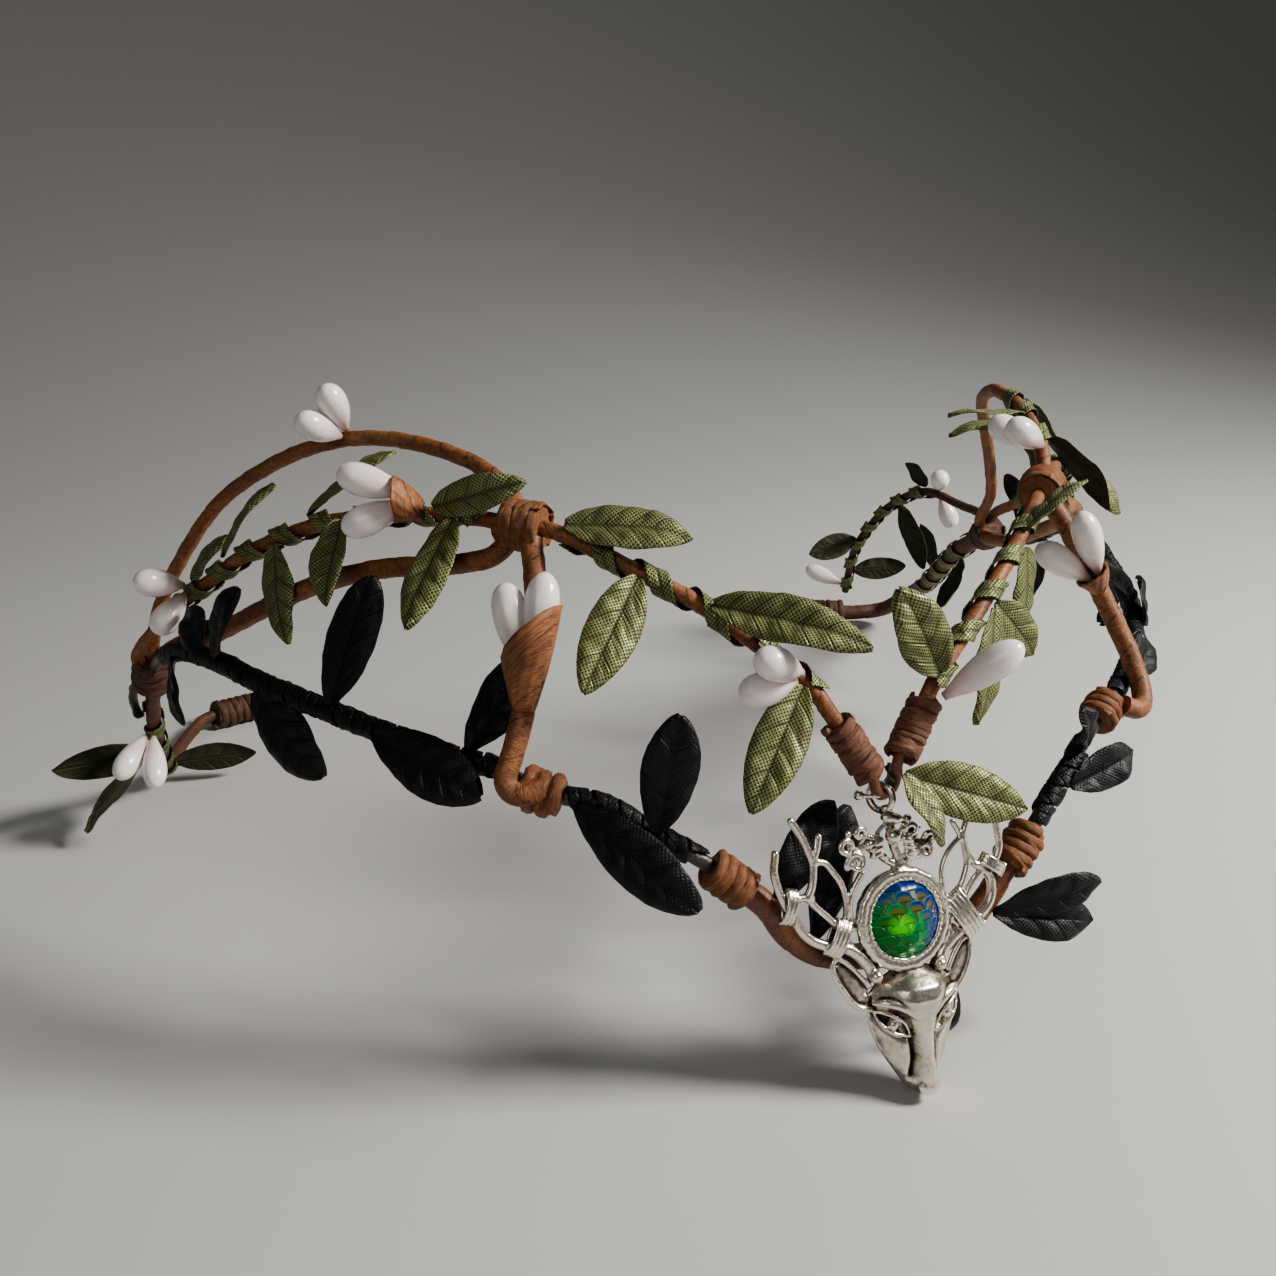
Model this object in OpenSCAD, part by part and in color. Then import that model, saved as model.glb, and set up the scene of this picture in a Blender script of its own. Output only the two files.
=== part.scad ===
/* [Head] */
// Width of the head that the ring fits
head_w = 176; // [166:1:186]
// Length of the head that the ring fits
head_l = 182; // [174:1:190]
// Height at which the head starts to round inwards
brow_h = 30; // [28:1:32]
// Height of the rounded crown above that
crown_h = 71; // [69:1:76]

/* [Wires] */
// Diameter of the lower band under its ribbon
band_d = 2.1; // [1.6:0.1:2.2]
// Diameter of the yoke that dips behind the pendant
yoke_d = 2.8; // [2:0.1:3]
// Diameter of the upper vine under its ribbon
vine_d = 2.2; // [1.6:0.1:2.3]
// Diameter of the arch over each temple
arch_d = 2.3; // [1.8:0.1:2.5]
// Diameter of the inner vine behind each junction
inner_d = 2.8; // [2:0.1:3]
// Diameter of the strut between the band and the vine
strut_d = 3; // [2.4:0.1:3.2]
// Diameter of the left tail
tail_d = 2.6; // [2:0.1:2.8]
// Diameter of the thicker right tail
thick_tail_d = 4; // [3:0.1:4.2]
// Diameter of the thin branch at the right rear
branch_d = 2; // [1.6:0.1:2.2]
// Diameter of the bare wire that the pendant hangs on
bail_wire_d = 1.5; // [1.2:0.1:1.6]

/* [Ribbon and leaves] */
// Thickness of the ribbon wound round a wire
ribbon_t = 0.55; // [0.5:0.05:0.7]
// Gap between a wire and what is wound round it
ribbon_gap = 0.1; // [0.1:0.05:0.15]
// Thickness of a leaf
leaf_t = 1; // [0.8:0.1:1.2]
// How far a leaf's tip droops, as a share of its length
leaf_droop = 0.07; // [0:0.01:0.12]

/* [Windings] */
// Gap between a winding and the wire inside it
bore_gap = 0.4; // [0.35:0.05:0.5]

/* [Pips] */
// Diameter of a pip at its fattest
pip_d = 4.6; // [4:0.1:5]
// Diameter of a pip's neck
neck_d = 1.2; // [1:0.1:1.6]

/* [Pendant] */
// Diameter of the stone
stone_d = 10; // [9:0.1:10.4]
// Outer diameter of the stone's setting
setting_d = 13.4; // [12.8:0.1:14]
// Lean of the pendant back from upright, in degrees
pendant_lean = 16.5; // [16:0.5:17]
// Distance of the nose's tip in front of the head
nose_reach = 7.6; // [7.4:0.1:8]

/* [Hidden] */

// Columns of a wire's table: angle round the head from the front, height, distance off the head
turn = 0;
height = 1;
out = 2;

// Columns of a leaf's table: place on its wire in rows, heading, lift, roll, length, width, fold
at = 0;
heading = 1;
lift = 2;
roll = 3;
long = 4;
wide = 5;
fold = 6;

sides = 7;

band_left = [[-15.3, 30.3, 0], [-18.2, 33.8, 0], [-22, 37.2, 0], [-26, 40.4, 0], [-31, 41.5, 0],
    [-34.5, 43.8, 0], [-39.5, 44.9, 0], [-46, 46.3, 0], [-53, 47.5, 0], [-62, 48.2, 0],
    [-70, 48.5, 0.5], [-77.5, 47, 1], [-84, 43.5, 1], [-93, 37.6, 1.6]];
band_right = [[13.7, 27.2, 0], [16.2, 30.8, 0], [21, 36.3, 0], [25.5, 40.2, 0], [29.5, 42, 0],
    [34.5, 43.3, 0], [41, 45, 0], [48, 46.8, 0], [56, 47.5, 0], [63.5, 50, 0], [69, 53.6, 0],
    [75, 54.6, 0.6], [83, 50.6, 1.2], [90, 46, 1.6], [96.2, 43.4, 2]];
yoke = [[-14.7, 29.5, 0], [-12.2, 26.4, 0], [-10, 21.5, 0], [-6.5, 18, 0], [0, 16.5, 0],
    [6.2, 17, 0], [9.6, 20.4, 0], [11.6, 24.1, 0], [13.2, 26.5, 0]];
bail = [[-3.8, 45.1, 0], [-2.75, 42.5, 0], [-2.2, 40.3, -0.9], [-1.25, 38.85, -2.05],
    [0.2, 39.4, -2.7], [0.35, 41.3, -1.9], [-0.2, 43.2, -0.4], [0.2, 45, 0], [1.2, 46.9, 0]];
vine_left = [[-4.3, 46.1, 0], [-7.5, 53.5, 0], [-10.5, 57.3, 0], [-13.5, 60.4, 0],
    [-18, 64.3, 0], [-24, 67.8, 0], [-30.5, 71, 0], [-35.5, 72, 0], [-46.5, 72.3, 0],
    [-58, 70.2, 0], [-64, 67.8, 0], [-71.4, 63.3, 0], [-79, 56.4, 0], [-88, 48.5, 1],
    [-93.8, 39.2, 4.6]];
vine_right = [[1.6, 47.6, 0], [4.5, 52.6, 0], [11.3, 59.5, 0], [16.7, 63.4, 0], [23.2, 67.2, 0],
    [28.6, 69.5, 0], [34.5, 71.2, 0], [46.5, 72.2, 0], [58, 70, 0], [66, 66.8, 0],
    [74, 62.6, -0.5], [82, 58.2, -1.4], [90, 53.4, -0.8], [97.9, 48.4, 2.9]];
arch_left = [[-37.7, 75.3, 0], [-41, 77.4, 0], [-46, 79, 0], [-53.3, 80, 0], [-61, 80, 0],
    [-68.5, 78.8, 0.5], [-77, 75, 1], [-85, 68, 1.5], [-89, 59.5, 1.5], [-93, 49, 2],
    [-96.4, 39.6, 2.4]];
arch_right = [[37.2, 75, 2.6], [39.5, 77.6, 4], [42.5, 79.4, 4], [48, 81, 3.5], [56, 82, 2],
    [65, 81.5, 0.5], [74, 78.5, -2], [82, 72, -3.5], [88, 63, -4], [92.5, 55, -3],
    [98.6, 47.2, -0.3]];
inner_left = [[-38.6, 67.9, -1.4], [-44.6, 66, -2.8], [-51.6, 64.6, -3.2], [-59, 61.6, -3.2],
    [-65.3, 57.6, -3.2], [-73, 52, -3.4], [-81, 46.8, -3.6], [-88, 43.6, -3.4], [-95, 39.2, -0.9]];
inner_right = [[38.3, 68.3, -1], [44.6, 66, -2.8], [51.6, 64.6, -3.2], [59, 61.6, -3.2],
    [66, 58.6, -3.6], [73, 55, -4.2], [81, 50.6, -4.8], [88, 46.4, -4.8], [96.8, 43.8, -1.3]];
strut_left = [[-33.8, 41, 4], [-33.4, 44.5, 3.2], [-32.8, 49, 2], [-32.4, 55.8, 0.6],
    [-32.5, 62, 0], [-33.3, 66.8, 0]];
strut_right = [[31.5, 40.2, 3.6], [33.2, 43.5, 3.4], [34.3, 48, 2], [34.8, 54, 0.5],
    [34.7, 59, 0], [34.6, 64, 0], [34.5, 66.4, 0]];
tail_left = [[-94.8, 38.4, 2], [-95.6, 35, 2.2], [-97.4, 30, 2.8], [-100.9, 22, 4.2],
    [-105.6, 14, 5.5], [-110.8, 7, 7.7], [-115.1, 3.6, 10.3], [-120.1, 2.8, 12.6],
    [-125.2, 2.8, 14.8], [-129.6, 3.3, 15.8], [-133.4, 3.3, 12.4], [-137.2, 3.3, 9]];
tail_right = [[98, 45.4, 1.6], [99.3, 43.8, 2.4], [101.4, 41.8, 4], [108.6, 35, 9.3],
    [114.8, 26, 18.8], [119.2, 19, 27.7], [123.4, 12.5, 37.6],
    [127.6, 5.3, 44.5], [130.6, 3.8, 41.7], [134.5, 3.7, 38], [139.1, 3.7, 35.4]];
branch_right = [[101.5, 46.4, 6.1], [108.6, 46.4, 11.1], [114.4, 47.6, 13.7],
    [119.4, 44.5, 16.7], [124.2, 37.9, 20], [129, 25.8, 26.7], [131.4, 11.6, 35.2]];

front_left_leaves = [[6, -2, 9, 10, 16.3, 7, 12], [4.8, -110, 10, 10, 16.8, 7, 8],
    [3.6, -23, 30, 10, 20.5, 7, 20], [1.2, -122, 10, -15, 17, 7, 10]];
rear_left_leaves = [[7.7, -92, 10, -10, 17, 7, 6], [7.9, 22, 24, -30, 12.5, 5, 20],
    [8.9, -67, 8, -5, 13.5, 6.5, 30], [9.6, 52, 8, 45, 15.5, 6.5, 10],
    [11.4, 73, 8, 15, 13.5, 6, 10], [10.4, -58, -11, -5, 15, 6.5, 10],
    [12.1, 58, 4, 0, 10.5, 5, 10], [12.5, -44, -21, -5, 9.5, 5, 10]];
front_right_leaves = [[1.1, 125, 27, -25, 13.5, 7.4, 24], [2.2, -104, -6, 50, 18, 7, 8],
    [3.8, -96, -24, -10, 12.2, 6.5, 8], [4, 22, 30, 5, 12.5, 6.5, 10],
    [2.4, -32, -9, -25, 12, 7, 8]];
rear_right_leaves = [[7.9, -80, 14, -35, 13, 6.5, 8], [9.2, 70, 12, -10, 14, 6.5, 10],
    [10.8, 46, 22, 0, 13, 6.5, 8]];
arch_right_leaves = [[1.6, 134, -28, 70, 13, 5.5, 14], [2.2, 122, -29, 70, 12, 5.5, 14],
    [0.9, -90, 6, 50, 14, 6, 8]];
tail_left_leaves = [[4.3, 15, 47, 10, 20, 6.5, 10], [4, -33, 36, 10, 19, 6.5, 10],
    [5.4, 177, -66, 0, 15.6, 6, 8], [2.7, 60, 14, 0, 8, 5, 10]];
tail_right_leaves = [[2.9, -97, -36, -20, 14.5, 7, 8], [4.4, 68, 10, 20, 12, 6.5, 10]];
branch_leaves = [[4.7, -20, -48, 0, 14.1, 6.5, 10], [5.5, 173, 19, 20, 14, 6, 10],
    [3.4, -122, -8, 0, 17, 6, 8], [2.2, 40, 16, 0, 7.5, 4.5, 10]];
hanging_leaves = [[4.9, -23, 30, 10, 17.5, 7.6, 14], [5.2, -72, 40, 0, 11.5, 6, 10]];
left_front_black = [[3.3, -30, 28, 0, 20.5, 7.8, 6], [1.9, 78, 18, 0, 16, 7.6, 6]];
left_rear_black = [[6.95, -15, 8, 10, 17.5, 7.8, 8], [5.6, 67, -20, 10, 15.5, 7.6, 6],
    [7.8, 79, 4, 25, 18.5, 8, 6], [8.9, -26, -11, -20, 17.5, 7.8, 8], [9.8, 60, 20, 0, 13, 6, 20],
    [10.2, 154, 4, -20, 10, 6, 10], [11, 42, -16, 30, 8.5, 5, 10], [11.2, -49, 4, -10, 11, 6, 8]];
right_front_black = [[1.7, 15, 19, 20, 12.5, 6, 20], [2.4, 120, 24, 0, 7.5, 4.6, 20]];
right_rear_black = [[5.1, 21, 10, 20, 10.5, 6, 16], [6.8, 27, 6, -5, 10.5, 7, 10],
    [7.6, 109, -18, -40, 13, 7, 8], [9, -60, -10, 0, 13, 7, 8], [11.3, 100, 0, 0, 14, 7.5, 8],
    [12.6, -80, -14, -20, 14, 7.5, 8], [13.2, 60, 16, 0, 13, 7, 10]];
left_yoke_leaves = [[1, 46, -25, 15, 15.2, 6.5, 8], [2.4, 60, -22, -10, 18, 7.6, 6]];
right_yoke_leaves = [[6.1, 12, 30, -5, 15, 7, 8], [6, -10, 26, 15, 15.5, 6.5, 16],
    [4.6, -82, 6, -40, 13, 5, 8]];

// Columns of a section along a leaf: share of its length, share of its width
pointed_leaf = [[0, 0.18], [0.18, 0.72], [0.45, 1], [0.76, 0.66], [1, 0.07]];
round_leaf = [[0, 0.16], [0.2, 0.6], [0.5, 0.98], [0.82, 0.86], [1, 0.26]];
share_long = 0;
share_wide = 1;

// Columns of a pair of pips: heading, lift, length
strut_left_pips = [[113, 4, 11.5], [83, 4, 12.5]];
strut_left_root = [150, 60];
strut_right_pips = [[122, -20, 10], [112, 14, 11]];
arch_left_pips = [[8, 69, 9], [-58, 60, 9]];
arch_right_pips = [[142, 2, 8.5], [118, -14, 8.5]];
vine_left_pips = [[-172, 34, 9.5], [-142, 8, 9.5]];
front_left_pips = [[168, 38, 9], [190, 17, 8.5]];
front_right_pip = [[33, 38, 12]];
rear_left_pips = [[-9, 62, 9], [-62, 24, 8]];
tail_left_pips = [[-34, -6, 11], [-31, 23, 10]];
branch_upper_pip = [[120, -25, 7]];
branch_lower_pip = [[-112, 0, 8]];
branch_end_pip = [[18, -5, 11]];
pip_stand = 3.4;
pip_pitch = 1.5;
cup_stand = 3.9;

vine_r = vine_d / 2;
band_r = band_d / 2;
ribbon_r = vine_r + ribbon_gap + ribbon_t;
wrap_lead = 0.3;
leaf_seat = 0.15;
pip_gap = 0.3;

leaf_root_t = 0.45;
pip_waist = 0.22;
cone_wall = 0.5;

// Columns of a winding's size: outer radius, turns, length
outer = 0;
turns = 1;
length = 2;
side_size = [3, 5, 7.2];
upper_size = [2.6, 8, 9];
strut_knot_size = [3.1, 4, 6];
junction_size = [3.9, 4, 7.2];
rear_size = [3.8, 4, 6.6];
left_coil_size = [3.3, 8, 13];
right_coil_size = [3.7, 8, 12];
coil_ease = 0.5;

tape = "#96592f";
yoke_tape = "#8b552c";
rear_tape = "#5e3820";
tail_tape = "#6e4224";
winding_tape = "#9c6034";
raffia = "#7d4526";
band_paper = "#4a3426";
green = "#7d8c3c";
black = "#17181c";
blossom = "#f4ece6";
silver = "#b9b4a8";
stone_green = "#1f7a46";

setting_v = 23.7;
setting_u = -0.2;
setting_h = 3.6;
rim_step = 0.4;
rim_inset = 1.2;
stone_gap = 0.12;
stone_seat = 1.2;
stone_h = 4;
stone_curve = 0.7;

// Columns of a cast stroke: across, up, forward, radius
cast_u = 0;
cast_v = 1;
cast_w = 2;
cast_r = 3;

skull = [[0, 13.4, 1.2, 2.6], [5.4, 12.6, 0.9, 1], [5.3, 8.6, 0.9, 1], [1.4, 1.6, 1, 1]];
bridge = [[0, 14.6, 2.2, 1.7], [0, 9.5, 3.4, 1.3], [0, 4, 3.2, 1.3], [0, 0.78, 1.6, 1.45]];
post = [[-0.2, 14.5, 1.6, 1.6], [-0.2, 17.2, 1.4, 1]];
brow = [[1.4, 11.6, 3, 1], [3.8, 12.9, 2.3, 0.9], [6.4, 13.5, 1.2, 0.8]];
lid = [[1.6, 9.4, 2.4, 0.5], [3.8, 9.2, 2.1, 0.5], [5.8, 10.8, 1.4, 0.5]];
boss = [[4.6, 14.4, 1.2, 1], [4.4, 16.7, 1.5, 1.2]];
ear_top = [[6, 15.2, 1, 0.6], [9.9, 16.4, 0.9, 0.6], [10.6, 19, 0.8, 0.6]];
ear_edge = [[6, 12.4, 1, 0.6], [9.2, 15.2, 0.9, 0.6], [10.6, 19, 0.8, 0.6]];
eye = [3.6, 10.5, 1.6, 1.05];

left_beam = [[-5, 16.4, 1.4, 1.1], [-6.9, 18.4, 1.4, 1.1], [-8.8, 21.6, 1.4, 1.1],
    [-9.6, 24.4, 1.4, 1.1], [-11.6, 26.8, 1.3, 1], [-13.2, 29.6, 1.2, 1], [-12.2, 33.2, 1.2, 0.9],
    [-11.4, 36.2, 1.1, 0.6]];
left_tines = [[[-13.1, 30.4, 1.2, 0.9], [-13.4, 34.6, 1.2, 0.8], [-15.3, 38.8, 1.1, 0.6]],
    [[-13, 29, 1.2, 0.8], [-16.5, 29.6, 1.2, 0.8], [-18, 31, 1.1, 0.7], [-17.8, 35, 1, 0.6]],
    [[-9.4, 22, 1.3, 0.8], [-12, 21.6, 1.2, 0.8], [-15.6, 23.6, 1.2, 0.8],
        [-16.8, 26.8, 1.2, 0.8], [-16.3, 29.4, 1.2, 0.8]],
    [[-9.6, 23.4, 1.3, 0.8], [-7.9, 25.4, 1.2, 0.7], [-8.4, 29.8, 1.2, 0.7],
        [-11.4, 33, 1.1, 0.7]]];
right_beam = [[4.2, 16.2, 1.4, 1.1], [7.3, 19.4, 1.4, 1.1], [10, 21.6, 1.4, 1.1],
    [13.6, 23.2, 1.3, 1], [14.4, 26.6, 1.3, 1], [12, 28.8, 1.2, 0.9], [11.1, 30.8, 1.2, 0.8],
    [10.3, 33.2, 1.1, 0.6]];
right_tines = [[[14.3, 27.4, 1.2, 0.8], [16.1, 29.4, 1.2, 0.8], [15.9, 33.6, 1.1, 0.6]],
    [[11.4, 29.6, 1.2, 0.8], [8.6, 31.4, 1.1, 0.7], [8, 34.8, 1, 0.6]],
    [[9.2, 21.4, 1.3, 0.8], [9.4, 25.8, 1.2, 0.7], [7.2, 27, 1.2, 0.7], [7.1, 29.8, 1.2, 0.7],
        [8.4, 31.6, 1.1, 0.7]]];

// Columns of a binding round an antler: across, up, turn in the pendant's plane
bindings = [[-9.3, 22.9, 0], [-17, 28.6, 40], [9.6, 22.8, 30], [14.4, 28.2, -40]];
binding_r = 1.5;
binding_w = 1.8;
binding_lift = 1.3;

stem = [[-0.4, 29.6, 1.2, 0.8], [-0.5, 32.4, 1.2, 0.7], [-0.9, 35.4, 1.1, 0.8],
    [-1.7, 37.5, 1, 0.7]];
berry = [-0.8, 34.6, 1.6, 1.5];

// Columns of a scroll: across, up, first radius, last radius, first angle, sweep
scrolls = [[-3.4, 31.4, 2.2, 0.8, -80, 330], [2.8, 31.2, 2, 0.8, 260, -330],
    [-5.6, 34, 2.2, 0.7, -60, 300], [2.4, 34.4, 1.6, 0.6, 240, -300]];
scroll_steps = 4;
scroll_r = 0.55;

ring_u = -1.9;
ring_v = 39.9;
ring_r = 1.75;
ring_wire_r = 0.5;
ring_yaw = -60;

function unit(v) = v / norm(v);

// How much narrower the head is at a height, as a share of its full size
function reach(h) = h <= brow_h ? 1 : sqrt(max(1 - pow((h - brow_h) / crown_h, 2), 0.01));

function on_head(row) = [
    (head_w / 2 * reach(row[height]) + row[out]) * sin(row[turn]),
    -(head_l / 2 * reach(row[height]) + row[out]) * cos(row[turn]),
    row[height]];

// Direction that points straight out of the head at a point
function outward(p) = unit([p.x / pow(head_w / 2, 2), p.y / pow(head_l / 2, 2),
    max(p.z - brow_h, 0) / pow(crown_h, 2)]);

// Point between b and c on the smooth curve through a, b, c and d
function smooth(a, b, c, d, t) =
    (2 * b + (c - a) * t + (2 * a - 5 * b + 4 * c - d) * t * t
        + (3 * b - a - 3 * c + d) * t * t * t) / 2;

function wire_point(p, s) =
    let(last = len(p) - 1, i = min(floor(s), last - 1),
        a = i > 0 ? p[i - 1] : 2 * p[0] - p[1],
        d = i < last - 1 ? p[i + 2] : 2 * p[last] - p[last - 1])
    smooth(a, p[i], p[i + 1], d, s - i);

function wire_heading(p, s) =
    unit(wire_point(p, min(s + 0.05, len(p) - 1)) - wire_point(p, max(s - 0.05, 0)));

function around(p, s, r) =
    let(c = wire_point(p, s), t = wire_heading(p, s), across = unit(cross(t, outward(c))),
        up = cross(across, t))
    [for (k = [0:sides - 1]) c + r * (cos(360 * k / sides) * across + sin(360 * k / sides) * up)];

// Places along a wire, in rows, at which it has a ring of points
function stations(from, to) = [for (s = [from:0.5:to]) s];

function strip(n, i, flip) = [for (k = [0:n - 1])
    let(a = i * n + k, b = i * n + (k + 1) % n, c = a + n, d = b + n)
    each flip ? [[a, c, b], [b, c, d]] : [[a, b, c], [b, d, c]]];

// Closed skin through rings of equal point count
module skin(rings) {
    n = len(rings[0]);
    last = (len(rings) - 1) * n;
    near = [for (k = [1:n - 2]) [0, k + 1, k]];
    far = [for (k = [1:n - 2]) [last, last + k, last + k + 1]];
    walls = [for (i = [0:len(rings) - 2]) each strip(n, i, false)];
    polyhedron(points = [for (ring = rings) each ring], faces = concat(near, walls, far));
}

module wire(rows, r) {
    p = [for (row = rows) on_head(row)];
    skin([for (s = stations(0, len(rows) - 1)) around(p, s, r)]);
}

// Ribbon wound round a wire between two of its stations
module wrap(rows, r, from, to) {
    p = [for (row = rows) on_head(row)];
    at_rows = stations(from, to);
    inner = r + ribbon_gap;
    m = len(at_rows);
    shell = sides * m;
    ends = [for (k = [0:sides - 1]) let(q = (k + 1) % sides, z = sides * (m - 1))
        each [[k, shell + k, q], [q, shell + k, shell + q],
            [z + k, z + q, shell + z + k], [z + q, shell + z + q, shell + z + k]]];
    outside = [for (i = [0:m - 2]) each strip(sides, i, false)];
    inside = [for (i = [0:m - 2]) each [for (f = strip(sides, i, true)) f + [shell, shell, shell]]];
    polyhedron(points = concat([for (s = at_rows) each around(p, s, inner + ribbon_t)],
            [for (s = at_rows) each around(p, s, inner)]),
        faces = concat(outside, inside, ends));
}

// Direction that leaves a wire at a heading along the head and a lift off it
function leaving(n, head, up_off) =
    let(east = unit(cross([0, 0, 1], n)), north = cross(n, east))
    cos(up_off) * (cos(head) * east + sin(head) * north) + sin(up_off) * n;

// Children run along +X away from a wire, with their face towards +Z
module off_wire(rows, s, head, up_off, turned, r, aim = undef) {
    p = [for (row = rows) on_head(row)];
    c = wire_point(p, s);
    t = wire_heading(p, s);
    n = outward(c);
    v = leaving(n, head, up_off);
    a = is_undef(aim) ? v : leaving(n, aim[0], aim[1]);
    square_to = a - (a * t) * t;
    seat = c + r * unit(square_to + 0.5 * n);
    flat_n = unit(n - (n * v) * v);
    flat_s = cross(flat_n, v);
    face = cos(turned) * flat_n + sin(turned) * flat_s;
    side = cross(face, v);
    multmatrix([[v.x, side.x, face.x, seat.x], [v.y, side.y, face.y, seat.y],
        [v.z, side.z, face.z, seat.z]])
        children();
}

module leaf(shape, row) {
    half = row[wide] / 2;
    rings = [for (i = [0:len(shape) - 1])
        let(x = (row[long] + wrap_lead) * shape[i][share_long] - wrap_lead,
            y = half * shape[i][share_wide], z = -leaf_droop * x * x / row[long],
            edge = z + y * tan(row[fold]), t = (i == 0 ? leaf_root_t : leaf_t) / 2)
        [[x, 0, z + t], [x, y, edge + t], [x, y, edge - t], [x, 0, z - t], [x, -y, edge - t],
            [x, -y, edge + t]]];
    skin(rings);
}

// Ribbon on a wire with its leaves
module leafy(rows, r, from, to, leaves, shape) {
    wrap(rows, r, from, to);
    for (row = leaves)
        off_wire(rows, row[at], row[heading], row[lift], row[roll],
            r + ribbon_gap + ribbon_t - leaf_seat)
            leaf(shape, row);
}

// Children stand on a wire, with +Z along it
module on_wire(rows, s) {
    p = [for (row = rows) on_head(row)];
    c = wire_point(p, s);
    t = wire_heading(p, s);
    across = unit(cross(t, outward(c)));
    up = cross(t, across);
    multmatrix([[across.x, up.x, t.x, c.x], [across.y, up.y, t.y, c.y],
        [across.z, up.z, t.z, c.z]])
        children();
}

// Turns of cord side by side round a bore
module winding(bore_d, size) {
    cord = size[length] / size[turns];
    bore = bore_d / 2 + bore_gap;
    rotate_extrude($fn = 64) {
        for (k = [0:size[turns] - 1])
            translate([size[outer] - cord / 2, (k + 0.5 - size[turns] / 2) * cord])
                circle(d = cord, $fn = 32);
        translate([bore, cord * 0.3 - size[length] / 2])
            square([size[outer] - cord / 2 - bore, size[length] - cord * 0.6]);
    }
}

// Winding round a wire, at one of its rows
module binding(rows, s, bore_d, size, tint) {
    color(tint)
        on_wire(rows, s)
            winding(bore_d, size);
}

// Wire under its tape
module taped(rows, d, tint) {
    color(tint)
        wire(rows, d / 2);
}

module green_leaves(rows, r, from, to, leaves) {
    color(green)
        leafy(rows, r, from, to, leaves, pointed_leaf);
}

module black_leaves(rows, r, from, to, leaves) {
    color(black)
        leafy(rows, r, from, to, leaves, round_leaf);
}

// Teardrop along +X from its neck
module pip(tall, d) {
    waist = pip_waist * d;
    waist_r = sqrt(pow(d / 2, 2) - pow(waist, 2));
    neck_h = tall - d / 2 - waist;
    rotate([0, 90, 0])
        rotate_extrude($fn = 48) {
            intersection() {
                translate([0, tall - d / 2])
                    circle(d = d, $fn = 48);
                translate([0, neck_h])
                    square([d, d]);
            }
            polygon([[0, 0], [neck_d / 2, 0], [waist_r, neck_h + 0.002], [0, neck_h + 0.002]]);
        }
}

// Pips side by side over a wire; their roots stand off it towards the first pip unless told
module pips(rows, s, r, drops, root = undef) {
    n = outward(wire_point([for (row = rows) on_head(row)], s));
    ways = [for (drop = drops) leaving(n, drop[0], drop[1])];
    apart = len(drops) > 1 ? pip_pitch / 2 * unit(ways[0] - ways[1]) : [0, 0, 0];
    color(blossom)
        for (i = [0:len(drops) - 1])
            translate(i == 0 ? apart : -apart)
                off_wire(rows, s, drops[i][0], drops[i][1], 0, r + pip_gap,
                    is_undef(root) ? drops[0] : root)
                    pip(drops[i][2], pip_d);
}

// Pips on both sides of the branch
module branch_pips() {
    pips(branch_right, 1.7, branch_d / 2 + ribbon_gap, branch_upper_pip);
    pips(branch_right, 1.7, branch_d / 2 + ribbon_gap, branch_lower_pip);
}

// Cone of paper round the root of a pair of pips, along +X
module paper_cone(from, to, narrow, mouth) {
    slope = (mouth - narrow) / (to - from);
    inside = slope - cone_wall;
    rotate([0, 90, 0])
        difference() {
            translate([0, 0, from])
                cylinder(h = to - from, r1 = narrow, r2 = mouth, $fn = 48);
            translate([0, 0, from + 1])
                cylinder(h = to - from, r1 = narrow + inside, r2 = mouth + inside, $fn = 48);
        }
}

// Cone that holds a pair of pips over a wire
module pip_cup(rows, s, r, drops, root, from, to, narrow, mouth) {
    middle = (drops[0] + drops[1]) / 2;
    color(tape)
        off_wire(rows, s, middle[0], middle[1], 0, r + pip_gap, root)
            paper_cone(from, to, narrow, mouth);
}

// Strut with the cone that holds its pips
module strut(rows, s, drops, root, to, mouth) {
    taped(rows, strut_d, tape);
    pip_cup(rows, s, pip_stand, drops, root, -3, to, 1.2, mouth);
}

module ball(row) {
    translate([row[cast_u], row[cast_v], row[cast_w]])
        sphere(r = row[cast_r], $fn = 6);
}

// Chain of round-ended strokes
module stroke(rows) {
    for (i = [0:len(rows) - 2])
        hull() {
            ball(rows[i]);
            ball(rows[i + 1]);
        }
}

function mirrored(rows, s) =
    [for (row = rows) [s * row[cast_u], row[cast_v], row[cast_w], row[cast_r]]];

function curl(row) = [for (i = [0:scroll_steps])
    let(share = i / scroll_steps, r = row[2] + (row[3] - row[2]) * share, a = row[4] + row[5] * share)
    [row[0] + r * cos(a), row[1] + r * sin(a), 1, scroll_r]];

module stag_head() {
    hull()
        for (s = [-1, 1], row = mirrored(skull, s))
            ball(row);
    stroke(bridge);
    stroke(post);
    for (s = [-1, 1]) {
        for (rows = [brow, lid, boss, ear_top, ear_edge])
            stroke(mirrored(rows, s));
        ball(mirrored([eye], s)[0]);
    }
}

module antlers() {
    stroke(left_beam);
    stroke(right_beam);
    for (tine = concat(left_tines, right_tines))
        stroke(tine);
    for (row = bindings)
        translate([row[0], row[1], binding_lift])
            rotate([0, 90, row[2]])
                cylinder(h = binding_w, r = binding_r, center = true, $fn = 8);
}

// Stepped rim with the stone's pocket
module setting() {
    translate([setting_u, setting_v, 0])
        difference() {
            union() {
                cylinder(h = setting_h - rim_step, d = setting_d, $fn = 28);
                cylinder(h = setting_h, d = setting_d - rim_inset, $fn = 28);
            }
            translate([0, 0, stone_seat])
                cylinder(h = setting_h, d = stone_d + 2 * stone_gap, $fn = 28);
        }
}

module filigree() {
    stroke(stem);
    ball(berry);
    for (row = scrolls)
        stroke(curl(row));
}

// Ring at the top that the bail wire runs through
module bail_ring() {
    translate([ring_u, ring_v, 1])
        rotate([0, ring_yaw, 0])
            rotate_extrude($fn = 16)
                translate([ring_r, 0])
                    circle(r = ring_wire_r, $fn = 6);
}

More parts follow.
